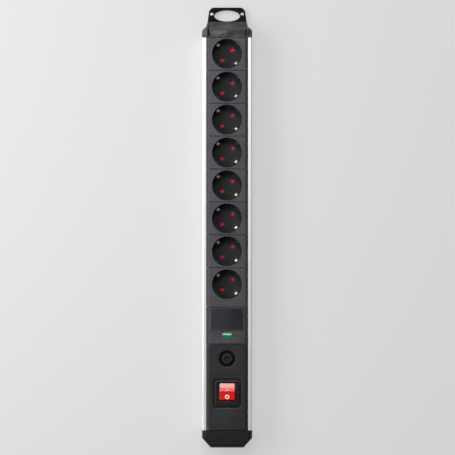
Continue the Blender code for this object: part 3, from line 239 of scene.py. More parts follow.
def turned(profile, centre, angles=EVEN, flutes=0.0):
    """A profile of (radius, z) points turned about an upright axis, less flutes, which vary round it."""
    return [round_ring(np.maximum(radius - flutes * (radius > 0.0), 0.0), centre, z, angles)
            for radius, z in profile]


def stacked(rings, loop=False):
    """Four-sided faces between each ring and the next, and with loop from the last back to the first."""
    rings = np.asarray(rings)
    count, around = rings.shape[:2]
    rows = np.arange(count if loop else count - 1)[:, None]
    here = np.arange(around)[None, :]
    beside = (here + 1) % around
    lower, upper = rows * around, (rows + 1) % count * around
    quads = np.stack([lower + here, lower + beside, upper + beside, upper + here], axis=-1)
    return rings.reshape(-1, 3), quads.reshape(-1, 4)


def carried(section, start, end):
    """A closed section of (y, z) points carried along X, with both ends closed."""
    count = len(section)
    here = np.arange(count)
    beside = (here + 1) % count
    sides = np.stack([here, beside, beside + count, here + count], axis=-1)
    points = np.concatenate([np.insert(section, 0, x, axis=1) for x in (start, end)])
    return points, [*sides, here[::-1], here + count]


def eased_step(values, low, high):
    """0 below low, 1 above high, and an S-shaped curve between."""
    share = np.clip((values - low) / (high - low), 0.0, 1.0)
    return share * share * (3.0 - 2.0 * share)


# Pieces on their bodies

FINISHES = {}


def middle(node):
    """Middle of a node's box, across and along the strip."""
    return BOX[node].mean(axis=0)[:2]


def half_size(node):
    """Half of a node's box, across and along the strip."""
    return (BOX[node][1] - BOX[node][0])[:2] / 2


def seated(name, mesh, slot, replaced, finish, body, sharp, bevel):
    """Merge, turn outwards and smooth a mesh, round its sharp edges if asked, and seat it on its body."""
    work = bmesh.new()
    work.from_mesh(mesh)
    bmesh.ops.remove_doubles(work, verts=work.verts, dist=WELD)
    bmesh.ops.dissolve_degenerate(work, edges=work.edges, dist=WELD)
    bmesh.ops.recalc_face_normals(work, faces=work.faces)
    work.to_mesh(mesh)
    work.free()
    mesh.shade_smooth()
    mesh.set_sharp_from_angle(angle=math.radians(sharp))
    piece = bpy.data.objects.new(name, mesh)
    bpy.context.scene.collection.objects.link(piece)
    if bevel:
        edge = piece.modifiers.new("edges", "BEVEL")
        edge.width = bevel
        edge.segments = EDGE_SEGMENTS
        edge.limit_method = "ANGLE"
        edge.angle_limit = math.radians(sharp)
        edge.harden_normals = True
    mesh.materials.append(FINISHES[finish or slot])
    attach(piece, body)
    if replaced:
        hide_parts(*replaced)


def solid(name, patches, slot, replaced=(), finish=None, body="strip", sharp=SHARP, bevel=0.0):
    """One closed piece from patches, each an array of points and a row of their numbers for each face."""
    starts = np.cumsum([0] + [len(points) for points, rows in patches[:-1]])
    faces = [(row + start).tolist() for (points, rows), start in zip(patches, starts) for row in rows]
    mesh = bpy.data.meshes.new(name)
    mesh.from_pydata(np.concatenate([points for points, rows in patches]).tolist(), [], faces)
    seated(name, mesh, slot, replaced, finish, body, sharp, bevel)


def eased_copy(node, slot, bevel, finish=None, body="strip", bend=None):
    """A merged copy of a node's solid, its flat areas made whole and its edges rounded. With bend, a function
    that moves an array of points, the copy is rounded and cut along even planes into small faces first."""
    mesh = frame["nodes"][node].data.copy()
    mesh.materials.clear()
    work = bmesh.new()
    work.from_mesh(mesh)
    bmesh.ops.remove_doubles(work, verts=work.verts, dist=2 * WELD)
    bmesh.ops.dissolve_limit(work, angle_limit=math.radians(FLAT_TURN), verts=work.verts, edges=work.edges)
    if bend:
        edges = [edge for edge in work.edges if edge.calc_face_angle(0.0) > math.radians(EASED_SHARP)]
        bmesh.ops.bevel(work, geom=edges, offset=bevel, segments=EDGE_SEGMENTS, profile=0.5, affect="EDGES",
                        clamp_overlap=True)
        for facing, low, high in zip(np.eye(3), *BOX[node]):
            for level in np.arange(low + BEND_STEP / 2, high, BEND_STEP):
                bmesh.ops.bisect_plane(work, geom=[*work.verts, *work.edges, *work.faces], dist=SLIVER,
                                       plane_co=facing * level, plane_no=facing)
        bmesh.ops.triangulate(work, faces=work.faces)
    work.to_mesh(mesh)
    work.free()
    if bend:
        points = np.empty(3 * len(mesh.vertices))
        mesh.vertices.foreach_get("co", points)
        mesh.vertices.foreach_set("co", bend(points.reshape(-1, 3)).ravel())
        bevel = 0.0
    seated(f"{node}_moulding", mesh, slot, [node], finish, body, EASED_SHARP, bevel)


# Finishes

CLOUD = 35.0 * MM         # slow changes of tone in moulded plastic
CLOUD_TONES = (0.82, 1.22)          # shares of the tint in the deepest and the palest cloud
PALE_EDGE_PATCH = 4.0 * MM          # patches of paler edges: wear, and on the switch and breaker a painted highlight as well
PALE_EDGE_GAIN, PALE_EDGE_LIFT = 2.6, 0.01  # how much paler those edges are
EDGE_POINTINESS = (0.50, 0.56)      # on a flat and on an outward edge
HIDDEN_MATT = 0.32        # roughness added below the face, where shade is painted into the colour
FULL_SHADE_Z = FACE_Z - 2.5 * MM         # below this a moulding has its full painted shade, a deeper colour
UNSHADED_Z = FACE_Z - 0.6 * MM         # above this it has no painted shade
POLISH_ROUGHNESS = 0.28
STREAK = 0.002            # share of their own pace at which drawn lines change along their length
RIB_SCALE = 1.0 / 6.3     # scale of a wave whose ribs are about a metre wide
PLATE_RIM = 1.1 * MM
ALONG_X, ALONG_Y, ALONG_Z = range(3)


class Wire:
    """An output in a node tree. Sums, differences and products of wires and numbers add Math nodes."""

    def __init__(self, tree, socket=None):
        self.tree = tree
        self.socket = socket

    def node(self, kind, settings=None, inputs=None, output=0):
        """Add a node: first its settings, then a value or a wire for each named or numbered input."""
        made = self.tree.nodes.new(kind)
        for key, value in (settings or {}).items():
            setattr(made, key, value)
        for key, value in (inputs or {}).items():
            if isinstance(value, Wire):
                self.tree.links.new(value.socket, made.inputs[key])
            else:
                made.inputs[key].default_value = value
        return Wire(self.tree, made.outputs[output])

    def maths(self, operation, first, second=0.0):
        """A Math node on wires or numbers."""
        return self.node("ShaderNodeMath", {"operation": operation}, {0: first, 1: second})

    def __add__(self, other):
        return self.maths("ADD", self, other)

    def __radd__(self, other):
        return self.maths("ADD", other, self)

    def __sub__(self, other):
        return self.maths("SUBTRACT", self, other)

    def __rsub__(self, other):
        return self.maths("SUBTRACT", other, self)

    def __mul__(self, other):
        return self.maths("MULTIPLY", self, other)

    def __rmul__(self, other):
        return self.maths("MULTIPLY", other, self)

    def __abs__(self):
        return self.maths("ABSOLUTE", self)

    def between(self, low, high):
        """0 below low, 1 above high, and a straight line between."""
        return self.node("ShaderNodeMapRange", {"clamp": True},
                         {"Value": self, "From Min": low, "From Max": high})

    def mix(self, first, second):
        """A colour between two colours, with this wire as the share of the second."""
        first, second = (value if isinstance(value, Wire) else (*value, 1.0) for value in (first, second))
        return self.node("ShaderNodeMix", {"data_type": "RGBA", "clamp_factor": True},
                         {0: self, 6: first, 7: second}, 2)

    def noise(self, size, detail=2.0):
        """Soft noise whose features are about size across."""
        return self.node("ShaderNodeTexNoise", None, {"Vector": self, "Scale": 1.0 / size, "Detail": detail})

    def stretched(self, scale):
        """The same coordinates, scaled along each axis."""
        return self.node("ShaderNodeMapping", None, {"Vector": self, "Scale": scale})

    def part(self, axis):
        """One of the three coordinates."""
        return self.node("ShaderNodeSeparateXYZ", None, {0: self}, axis)

    def bumped(self, height, distance):
        """The surface's direction, bent by a height of so much distance."""
        return self.node("ShaderNodeBump", None, {"Distance": distance, "Height": height})

    def convex(self):
        """1 along outward edges, 0 on flats."""
        return self.node("ShaderNodeNewGeometry", output="Pointiness").between(*EDGE_POINTINESS)


def tinted(tint, share):
    """A colour made deeper or paler."""
    return tuple(part * share for part in tint)


def finish(name, build, **constants):
    """A Principled material: build returns the wires that vary; constants are set on their own sockets."""
    material = bpy.data.materials.new(name)
    material.use_nodes = True
    tree = material.node_tree
    principled = tree.nodes["Principled BSDF"]
    for key, value in constants.items():
        principled.inputs[key.replace("_", " ")].default_value = value
    place = Wire(tree).node("ShaderNodeTexCoord", output="Object")
    for key, wire in build(place).items():
        tree.links.new(wire.socket, principled.inputs[key])
    return material


def moulded(name, tint, grain, rough, gloss=0.5, relief=0.06 * MM, edge_wear_and_highlight=0.35, recess_shade=0.0, polish=0.0):
    """Moulded plastic: fine grain, faint flow clouds and slightly paler, smoother outward edges, which show wear
    and, on the switch and breaker, a painted highlight as well.
    Below the face the colour is deepened, painted shade in wells, recesses and slopes, which also turn matt. With
    polish, outward edges shine."""
    def build(place):
        grains = place.noise(grain, 3.0)
        clouds = place.noise(CLOUD, 3.0)
        # Paler outward edges in patches: wear, and where the share is high, as on the switch and breaker, a
        # painted highlight.
        pale_edges = place.convex() * place.noise(PALE_EDGE_PATCH, 3.0).between(0.35, 0.65) * edge_wear_and_highlight
        pale_edge_tone = tuple(min(1.0, part * PALE_EDGE_GAIN + PALE_EDGE_LIFT) for part in tint)
        deep, pale = (tinted(tint, tone) for tone in CLOUD_TONES)
        base = clouds.between(0.3, 0.7).mix(deep, pale)
        matt = 0.0
        # Painted shade: below the face the colour falls to a deeper share of the tint, standing in for the shade
        # in wells, recesses and slopes.
        if recess_shade:
            unshaded = place.part(2).between(FULL_SHADE_Z, UNSHADED_Z)
            base = unshaded.mix(tinted(tint, 1.0 - recess_shade), base)
            matt = HIDDEN_MATT - HIDDEN_MATT * unshaded
        varied = {
            "Base Color": pale_edges.mix(base, pale_edge_tone),
            "Roughness": rough - 0.05 + 0.10 * clouds + 0.06 * grains - 0.10 * pale_edges + matt,
            "Normal": place.bumped(grains, relief),
        }
        if polish:
            varied["Coat Weight"] = polish * place.convex()
        return varied
    coat = {"Coat_Roughness": POLISH_ROUGHNESS} if polish else {}
    return finish(name, build, Specular_IOR_Level=gloss, **coat)


def drawn_metal(name, tint, along, rough, relief=0.012 * MM, lines=0.35 * MM):
    """Drawn or plated metal: lines along one axis and a cloudy sheen."""
    scale = [STREAK if axis == along else 1.0 for axis in range(3)]

    def build(place):
        streaks = place.stretched(scale).noise(lines, 3.0)
        clouds = place.noise(18 * MM)
        return {
            "Base Color": streaks.between(0.3, 0.7).mix(tinted(tint, 0.93), tint),
            "Roughness": rough - 0.06 + 0.10 * streaks + 0.06 * clouds,
            "Normal": place.bumped(streaks, relief),
        }
    return finish(name, build, Metallic=1.0)


def clear_moulding(name, tint, rough, ribs):
    """Clear coloured plastic: deep colour, faint ribs behind a smooth skin, and slow changes of depth."""
    def build(place):
        depth = place.noise(6 * MM)
        lines = place.node("ShaderNodeTexWave", {"bands_direction": "Y"},
                           {"Vector": place, "Scale": RIB_SCALE / ribs, "Distortion": 0.0})
        skin = place.noise(1.6 * MM)
        return {
            "Base Color": (0.7 * depth + 0.3 * lines).mix(tinted(tint, 0.80), tint),
            "Roughness": rough + 0.05 * skin,
            "Normal": place.bumped(skin, 0.003 * MM),
        }
    return finish(name, build, Coat_Weight=0.2, Coat_Roughness=0.15)


def plate_film(name, tint):
    """A plain dark plate whose rim is painted paler as a highlight, deeper towards one side, under a satin film
    with dust in it.
    """
    half_x, half_y = half_size("label_plate")
    middle_y = middle("label_plate")[1]

    def build(place):
        across = place.part(0)
        beside = abs(across) - (half_x - PLATE_RIM)
        beyond = abs(place.part(1) - middle_y) - (half_y - PLATE_RIM)
        rim = place.maths("MAXIMUM", beside, beyond).between(-0.05 * MM, 0.15 * MM)
        dust = place.noise(0.3 * MM, 3.0)
        clouds = place.noise(9 * MM, 3.0)
        left = clouds.mix(tint, tinted(tint, 1.4))
        right = clouds.mix(tinted(tint, 0.5), tinted(tint, 0.7))
        base = across.between(-9.0 * MM, 11.0 * MM).mix(left, right)
        return {
            # Painted highlight: the rim is three times paler than the plate.
            "Base Color": rim.mix(base, tinted(tint, 3.0)),
            "Roughness": 0.34 + 0.10 * clouds + 0.05 * dust,
            "Normal": place.bumped(dust, 0.012 * MM),
        }
    return finish(name, build, Specular_IOR_Level=0.3)


def insulated(name, tint, stripe=None):
    """Lead insulation: a satin skin, with a second colour along the lead where there is one."""
    def build(place):
        skin = place.noise(0.5 * MM)
        base = skin.mix(tinted(tint, 0.85), tint)
        if stripe is not None:
            bands = place.stretched((1.0, 0.12, 1.0)).noise(1.2 * MM, 0.0).between(0.48, 0.52)
            base = bands.mix(base, stripe)
        return {"Base Color": base, "Roughness": 0.38 + 0.15 * skin, "Normal": place.bumped(skin, 0.02 * MM)}
    return finish(name, build)


def board(name, lacquer, track):
    """Circuit board: green lacquer over faint tracks."""
    def build(place):
        tracks = place.node("ShaderNodeTexBrick", {"offset": 0.35},
                            {"Vector": place, "Scale": 260.0, "Mortar Size": 0.018}, 1)
        return {
            "Base Color": tracks.mix(lacquer, track),
            "Roughness": 0.25 + 0.2 * place.noise(5 * MM),
            "Normal": place.bumped(tracks, 0.03 * MM),
        }
    return finish(name, build)


def make_finishes(colours, grain):
    """All finishes of the strip. A finish with the name of one of the record's slots is that slot's own."""
    FINISHES.update({
        # Painted shade deepens the moulded blacks below the face.
        "black_plastic": moulded("moulded_black", colours.face, grain, rough=0.46, gloss=0.42, recess_shade=0.72,
                                 polish=0.4),
        "surge_plastic": moulded("moulded_surge", colours.surge, grain, rough=0.46, gloss=0.38, recess_shade=0.6),
        "control_plastic": moulded("moulded_control", colours.control, grain, rough=0.46, gloss=0.22,
                                   recess_shade=0.6, polish=1.0),
        "cap_plastic": moulded("moulded_cap", colours.cap, 1.3 * grain, rough=0.48),
        "foot_plastic": moulded("moulded_foot", colours.foot, 1.3 * grain, rough=0.48, gloss=0.15),
        "bracket_plastic": moulded("smooth_bracket", colours.bracket, 1.5 * grain, rough=0.18, gloss=0.12,
                                   relief=0.02 * MM),
        "nut_plastic": moulded("ring_nut", colours.nut, grain, rough=0.42, gloss=0.40),
        "button_plastic": moulded("dull_button", colours.button, grain, rough=0.34, gloss=0.2),
        "lining": moulded("dull_lining", colours.lining, grain, rough=0.7, gloss=0.1, relief=0.02 * MM,
                          edge_wear_and_highlight=0.0),
        "plate": plate_film("dark_plate", colours.plate),
        # The switch's and breaker's paler edges are made stronger, a painted highlight along the bezel's edges.
        "switch_plastic": moulded("smooth_black", colours.switch, 0.9 * MM, rough=0.26, gloss=0.28,
                                  relief=0.008 * MM, edge_wear_and_highlight=0.5),
        "aluminium": drawn_metal("satin_aluminium", colours.aluminium, ALONG_Y, rough=0.46,
                                 relief=0.006 * MM),
        "shutter_red": moulded("shutter_red", colours.shutter, 0.4 * MM, rough=0.45, gloss=0.2,
                               relief=0.02 * MM, edge_wear_and_highlight=0.1),
        "rocker_red": clear_moulding("rocker_red", colours.rocker, rough=0.22, ribs=1.1 * MM),
        "lamp_green": clear_moulding("lamp_green", colours.lamp, rough=0.22, ribs=0.8 * MM),
        "brass": drawn_metal("rolled_brass", colours.brass, ALONG_Y, rough=0.30),
        "tinned_brass": drawn_metal("tinned_strip", colours.tin, ALONG_Z, rough=0.42),
        "zinc_steel": drawn_metal("bright_zinc", colours.zinc, ALONG_X, rough=0.24, lines=0.2 * MM),
        "insulator": moulded("grey_insulator", colours.insulator, grain, rough=0.5),
        "white_plastic": moulded("white_block", colours.block, grain, rough=0.42),
        "marks": moulded("pale_print", colours.mark, 0.2 * MM, rough=0.40, relief=0.01 * MM, edge_wear_and_highlight=0.0),
        "board_green": board("circuit_board", colours.lacquer, colours.track),
        "varistor_blue": moulded("dipped_blue", colours.varistor, 1.5 * MM, rough=0.22, relief=0.05 * MM),
        "rubber": moulded("black_rubber", colours.rubber, 0.7 * MM, rough=0.62, relief=0.05 * MM, edge_wear_and_highlight=0.2),
        "brown_lead": insulated("brown_lead", colours.live),
        "blue_lead": insulated("blue_lead", colours.neutral),
        "earth_lead": insulated("earth_lead", colours.earth, colours.stripe),
    })


class STRIP_OT_finishes(bpy.types.Operator):
    """Make the finishes of all pieces"""
    bl_idname = "strip.finishes"
    bl_label = "Finishes"

    def execute(self, context):
        make_finishes(context.scene.strip_colours, context.scene.strip_sizes.grain)
        return {"FINISHED"}


class STRIP_OT_channel(bpy.types.Operator):
    """Make the extruded channel with its rounded rails"""
    bl_idname = "strip.channel"
    bl_label = "Channel"

    def execute(self, context):
        eased_copy("aluminium_channel", "aluminium", CHANNEL_ROUND)
        return {"FINISHED"}


# Moulded faces

SEAM_ROUND = 0.55 * MM    # rounding of a face's ends along the strip
SEAM_DEPTH = 1.3 * MM     # and downwards
FACE_CROWN = 0.9 * MM     # fall of a face from its middle line to its sides
FACE_MARGIN = 0.4 * MM    # from the end of the rounded edge to the first ring on the flat


def face_rings(low_y, high_y, sizes, angles=EVEN, soft_low=1.0, soft_high=1.0):
    """From the underside of the flange up its edge, in under the rail, up the slope and onto the flat face.
    The slope turns into the face on an arc; the ends along the strip turn over on a quarter of an ellipse."""
    bend = sizes.edge_round
    flat_half = BASE_HALF - SLOPE_RUN - bend * math.tan(SLOPE_TURN / 2)
    seam_half = BASE_HALF - SLOPE_RUN * (1.0 - SEAM_DEPTH / SLOPE_RISE)

    def ring(half, z, inset=0.0):
        return box_ring(half, low_y + soft_low * inset, high_y - soft_high * inset, z, angles)

    rings = [ring(half, z) for half, z in (
        (FLANGE_HALF, UNDER_Z), (FLANGE_HALF, FLANGE_TOP_Z), (BASE_HALF, FLANGE_TOP_Z + STEP),
        (BASE_HALF, SLOPE_Z), (seam_half, FACE_Z - SEAM_DEPTH))]
    for angle in np.linspace(SLOPE_TURN, 0.0, 6):
        drop = bend * (1.0 - math.cos(angle))
        rise = 1.0 - drop / SEAM_DEPTH
        rings.append(ring(flat_half + bend * math.sin(angle), FACE_Z - drop,
                          SEAM_ROUND * (1.0 - math.sqrt(1.0 - rise * rise))))
    return rings + [ring(flat_half - FACE_MARGIN, FACE_Z, SEAM_ROUND + STEP)]


def crowned(patch):
    """Let a face fall away from its middle line with the square of x; the fall fades out down the slope."""
    points, faces = patch
    share = np.clip((points[:, 2] - SLOPE_Z) / SLOPE_RISE, 0.0, 1.0)
    points[:, 2] -= FACE_CROWN * share * (points[:, 0] / BASE_HALF) ** 2
    return points, faces


# Sockets, with angles in degrees round the axis of each

PIN_TURN = 45.0           # direction of the pins and guide keys
CLIP_TURN = 135.0         # direction of the earth clips and their slots
KEY_HALF = 8.15           # half angle of a guide key in a well
SLOT_HALF = 10.37         # half angle of a clip slot
SIDE_SPREAD = 0.25        # between a side of a key or slot and the points beside it
CUP_WALL = 1.6 * MM
CUP_UNDER_Z = FACE_Z - 20.0 * MM
SLOT_INNER = 15.6 * MM
SLOT_OUTER = 20.6 * MM
SLOT_TOP_Z = FACE_Z - 2.9 * MM
SLOT_FLOOR_Z = CUP_UNDER_Z + 0.6 * MM
KEY_TOP_Z = FACE_Z - 4.0 * MM
KEY_REACH = 1.9 * MM
BEAD_WIDTH = 0.55 * MM
BEAD_STEPS = ((0.0, 0.0), (0.10 * MM, 0.55), (0.28 * MM, 0.9))     # inset, share of its height
WELL_FILLET = 0.5 * MM
PIN_ROUND = 0.3 * MM
SHUTTER_ROUND = 0.3 * MM


def near(degrees, direction, half):
    """Which angles lie within half of a direction or of its opposite."""
    return abs((degrees - direction + 90.0) % 180.0 - 90.0) < half


def socket_angles():
    """Angles round a socket from -45 degrees: even steps, and pairs at the sides of keys and clip slots."""
    sides = [PIN_TURN - KEY_HALF, PIN_TURN + KEY_HALF, CLIP_TURN - SLOT_HALF, CLIP_TURN + SLOT_HALF]
    opposite = np.add(sides, 180.0)
    pairs = np.add.outer([*sides, *opposite], [-SIDE_SPREAD, SIDE_SPREAD]).ravel()
    wrapped = (pairs + 45.0) % 360.0 - 45.0
    return np.radians(np.unique(np.round(np.concatenate([np.degrees(EVEN), wrapped]), 4)))


def well_rings(centre_y, low_y, high_y, sizes, angles):
    """A socket insert from the underside of its cup, over flange, sloping face, bead and lip, down the well's
    wall with its keys and clip slots to the edge of the floor."""
    degrees = np.degrees(angles)
    slot = near(degrees, CLIP_TURN, SLOT_HALF)
    key = near(degrees, PIN_TURN, KEY_HALF)
    well, lip = sizes.well_radius, sizes.lip_round
    floor_z = FACE_Z - sizes.well_depth

    def circle(radius, z):
        return round_ring(radius, (0.0, centre_y), z, angles)

    rings = [circle(well + CUP_WALL, CUP_UNDER_Z), circle(well + CUP_WALL, UNDER_Z)]
    rings += face_rings(low_y, high_y, sizes, angles)
    rings += [circle(well + lip + BEAD_WIDTH - inset, FACE_Z + share * sizes.lip_bead)
              for inset, share in BEAD_STEPS]
    rings += [circle(well + out, FACE_Z + sizes.lip_bead - drop) for out, drop in mouth(lip, 6)]
    slotted = np.where(slot, SLOT_OUTER, well)
    keyed = np.where(key, well - KEY_REACH, slotted)
    rings += [circle(well, SLOT_TOP_Z + STEP), circle(slotted, SLOT_TOP_Z - STEP),
              circle(slotted, KEY_TOP_Z + STEP), circle(keyed, KEY_TOP_Z - STEP)]
    rings += [circle(np.where(slot, SLOT_OUTER, keyed - inset), floor_z + rise)
              for inset, rise in shoulder(WELL_FILLET, 4)]
    outer = np.where(slot, SLOT_OUTER, keyed - WELL_FILLET)
    inner = np.where(slot, SLOT_INNER, outer)
    depth = np.where(slot, SLOT_FLOOR_Z, floor_z)
    return rings + [circle(outer, depth), circle(inner, depth), circle(inner, floor_z)]


def pierced_half(outline, pin, toward, rims, z):
    """Half a disc with one hole: from rims of the hole, as (radius, z), along straight lines to its outline.
    toward gives the direction of every line from the pin, so that both ends of the hole match."""
    lines = [round_ring(radius, pin, level, toward) for radius, level in rims]
    outer = np.concatenate([outline, np.full((len(outline), 1), z)], axis=1)
    shares = np.linspace(0.0, 1.0, 6)[1:, None, None]
    return stacked(np.concatenate([np.array(lines), lines[-1] + shares * (outer - lines[-1])]))


def pierced_floor(top, under, centre_y, sizes, angles):
    """The floor of a well and the underside of its cup, within the outlines top and under. Both are cut in
    halves along the line of the clips, and each half has a pin hole."""
    degrees = np.degrees(angles)
    floor_z = FACE_Z - sizes.well_depth
    chord = np.linspace(0.0, 1.0, 26)[1:-1, None]
    direction = np.array([math.cos(math.radians(PIN_TURN)), math.sin(math.radians(PIN_TURN))])
    rims = [(sizes.pin_radius, CUP_UNDER_Z)]
    rims += [(sizes.pin_radius + out, floor_z - drop) for out, drop in shoulder(PIN_ROUND, 4)]
    first = np.flatnonzero(degrees < CLIP_TURN + SIDE_SPREAD)
    second = np.append(np.flatnonzero(degrees > CLIP_TURN - SIDE_SPREAD), 0)
    patches = []
    for picked, hand in ((first, 1.0), (second, -1.0)):
        pin = np.array([0.0, centre_y]) + hand * sizes.pin_spacing / 2 * direction
        above, below = (np.concatenate([edge, edge[-1] + chord * (edge[0] - edge[-1])])
                        for edge in (top[picked], under[picked]))
        toward = np.arctan2(above[:, 1] - pin[1], above[:, 0] - pin[0])
        patches += [pierced_half(above, pin, toward, rims, floor_z),
                    pierced_half(below, pin, toward, rims[:1], CUP_UNDER_Z)]
    return patches


class STRIP_OT_sockets(bpy.types.Operator):
    """Make the eight socket inserts and the red shutters behind their pin holes"""
    bl_idname = "strip.sockets"
    bl_label = "Sockets"

    def execute(self, context):
        sizes = context.scene.strip_sizes
        angles = socket_angles()
        for index in SOCKETS:
            insert, shutter = f"socket_insert_{index}", f"shutter_{index}"
            rings = well_rings(SOCKET_Y[index], *BOX[insert][:, 1], sizes, angles)
            floor = pierced_floor(rings[-1][:, :2], rings[0][:, :2], SOCKET_Y[index], sizes, angles)
            solid(f"socket_{index}", [crowned(stacked(rings)), *floor], "black_plastic", [insert])
            eased_copy(shutter, "shutter_red", SHUTTER_ROUND, body=shutter)
        return {"FINISHED"}


# Earth bar and clips

CLIP_START = 1.0 * MM     # end of an earth clip inside the bar, from the axis of its socket
CLIP_FOOT = 18.9 * MM     # its upright part, from the same axis
CLIP_BEND = 1.6 * MM
CLIP_BOW = 3.4 * MM
CLIP_HALF = (2.3 * MM, 0.4 * MM)    # half its width and half its thickness
CLIP_ROUND = 0.35 * MM
CLIP_BOW_Z = FACE_Z - 7.4 * MM
CLIP_TIP_Z = FACE_Z - 4.6 * MM
TIP_ROWS = 6              # rows of points in which the tip narrows
TIP_NARROWING = 0.85
BAR_HALF = 4.0 * MM
BAR_THICKNESS = 1.0 * MM
BAR_CORNER = 0.8 * MM
BAR_EDGE = 0.2 * MM


def clip_patch(centre_y, angle, floor_z, bar_z):
    """An earth clip: a thin rounded strip along a path that runs out on the bar, turns up and bows inwards.
    The bow is half a cosine wave up from the well's floor and a shorter one back to the tip."""
    def wave(low, high):
        return 0.5 - 0.5 * np.cos(math.pi * np.clip((height - low) / (high - low), 0.0, 1.0))

    straight = CLIP_FOOT - CLIP_BEND
    out = np.linspace(CLIP_START, straight, 6)[:-1]
    quarter = np.linspace(0.0, math.pi / 2, 8)
    height = np.linspace(bar_z + CLIP_BEND, CLIP_TIP_Z, 44)[1:]
    bow = CLIP_BOW * (wave(floor_z, CLIP_BOW_Z) - wave(CLIP_BOW_Z, CLIP_TIP_Z))
    reach = np.concatenate([out, straight + CLIP_BEND * np.sin(quarter), CLIP_FOOT - bow])
    rise = np.concatenate([bar_z + 0 * out, bar_z + CLIP_BEND - CLIP_BEND * np.cos(quarter), height])
    slope = np.stack([np.gradient(reach), np.gradient(rise)], axis=-1)
    slope /= np.linalg.norm(slope, axis=1)[:, None]
    section = soft_ring(CLIP_HALF, CLIP_ROUND, (0.0, 0.0), 0.0, EVEN[::3])
    taper = np.ones_like(rise)
    taper[-TIP_ROWS:] = np.sqrt(1.0 - np.linspace(0.0, TIP_NARROWING, TIP_ROWS) ** 2)
    across = section[None, :, 0] * taper[:, None]
    thick = section[None, :, 1]
    radial = reach[:, None] - slope[:, 1:] * thick
    z = rise[:, None] + slope[:, :1] * thick
    cosine, sine = math.cos(angle), math.sin(angle)
    x = radial * cosine - across * sine
    y = centre_y + radial * sine + across * cosine
    rings = np.stack([x, y, z], axis=-1)
    ends = [np.tile(ring.mean(axis=0), (len(ring), 1)) for ring in (rings[0], rings[-1])]
    return stacked([ends[0], *rings, ends[1]])


def bar_patch(low_y, high_y, low_z):
    """The earth bar: a flat strip with soft edges, between two poles."""
    centre = (0.0, (low_y + high_y) / 2)
    half = np.array([BAR_HALF, centre[1] - low_y])
    high_z = low_z + BAR_THICKNESS
    levels = ((BAR_EDGE, low_z), (0.0, low_z + BAR_EDGE), (0.0, high_z - BAR_EDGE), (BAR_EDGE, high_z))
    rings = [soft_ring(half - inset, BAR_CORNER, centre, z) for inset, z in levels]
    return stacked([pole(centre, low_z), *rings, pole(centre, high_z)])


class STRIP_OT_contacts(bpy.types.Operator):
    """Make the earth bar with two bowed clips in each socket"""
    bl_idname = "strip.contacts"
    bl_label = "Contacts"

    def execute(self, context):
        floor_z = FACE_Z - context.scene.strip_sizes.well_depth
        low_y, low_z = BOX["earth_busbar"][0, 1:]
        bar_z = low_z + BAR_THICKNESS / 2
        patches = [bar_patch(low_y, SOCKET_Y[1] + BAR_HALF, low_z)]
        for index in SOCKETS:
            for angle in (CLIP_TURN, CLIP_TURN + 180.0):
                patches.append(clip_patch(SOCKET_Y[index], math.radians(angle), floor_z, bar_z))
        solid("earth_clips", patches, "tinned_brass", ["earth_busbar"], sharp=50.0)
        return {"FINISHED"}


# Surge filter

LAMP_FLANGE = 1.0 * MM    # width of the lens's flange under the panel
LAMP_GAP = 0.3 * MM       # between that flange and the panel
LAMP_ROOM = 0.25 * MM     # between the lens and its hole
LAMP_CORNER = 1.1 * MM
LAMP_HOLE_ROUND = 0.3 * MM
LAMP_RIM = 0.7 * MM       # over which the lens rises from its edge
LAMP_GATHER = 1.6         # power that gathers the lens's rings at its edge
LAMP_CROWN = 1.3          # power by which the lens falls from its middle line
LAMP_MIDDLE = middle("lamp_lens")
LAMP_HALF = half_size("lamp_lens") - LAMP_FLANGE
PLATE_LIFT = 0.02 * MM
PLATE_CORNER = 1.0 * MM
PLATE_ROUND = 0.6 * MM
PLATE_SUNK = 0.18 * MM    # depth of the plate's field within its rim


def surge_patch(sizes):
    """The surge panel's face with the lamp's hole through it."""
    hole = LAMP_HALF + LAMP_ROOM
    rings = face_rings(*BOX["surge_panel"][:, 1], sizes)
    rings += [soft_ring(hole + out, LAMP_CORNER + out, LAMP_MIDDLE, FACE_Z - drop)
              for out, drop in mouth(LAMP_HOLE_ROUND, 4)]
    rings.append(soft_ring(hole, LAMP_CORNER, LAMP_MIDDLE, UNDER_Z))
    return crowned(stacked(rings, loop=True))


def plate_patch():
    """The bare plate: a soft outer edge, a flat rim and a field sunk a little within it."""
    centre = middle("label_plate")
    half = half_size("label_plate")
    low_z = FACE_Z + PLATE_LIFT
    top_z = BOX["label_plate"][1, 2]
    rings = [pole(centre, low_z), soft_ring(half, PLATE_CORNER, centre, low_z)]
    rings += [soft_ring(half - inset, PLATE_CORNER, centre, top_z - drop)
              for inset, drop in shoulder(PLATE_ROUND, 5)]
    rings += [soft_ring(half - PLATE_RIM, 0.8 * PLATE_CORNER, centre, top_z),
              soft_ring(half - PLATE_RIM - PLATE_SUNK, 0.7 * PLATE_CORNER, centre, top_z - PLATE_SUNK),
              pole(centre, top_z - PLATE_SUNK)]
    return crowned(stacked(rings))


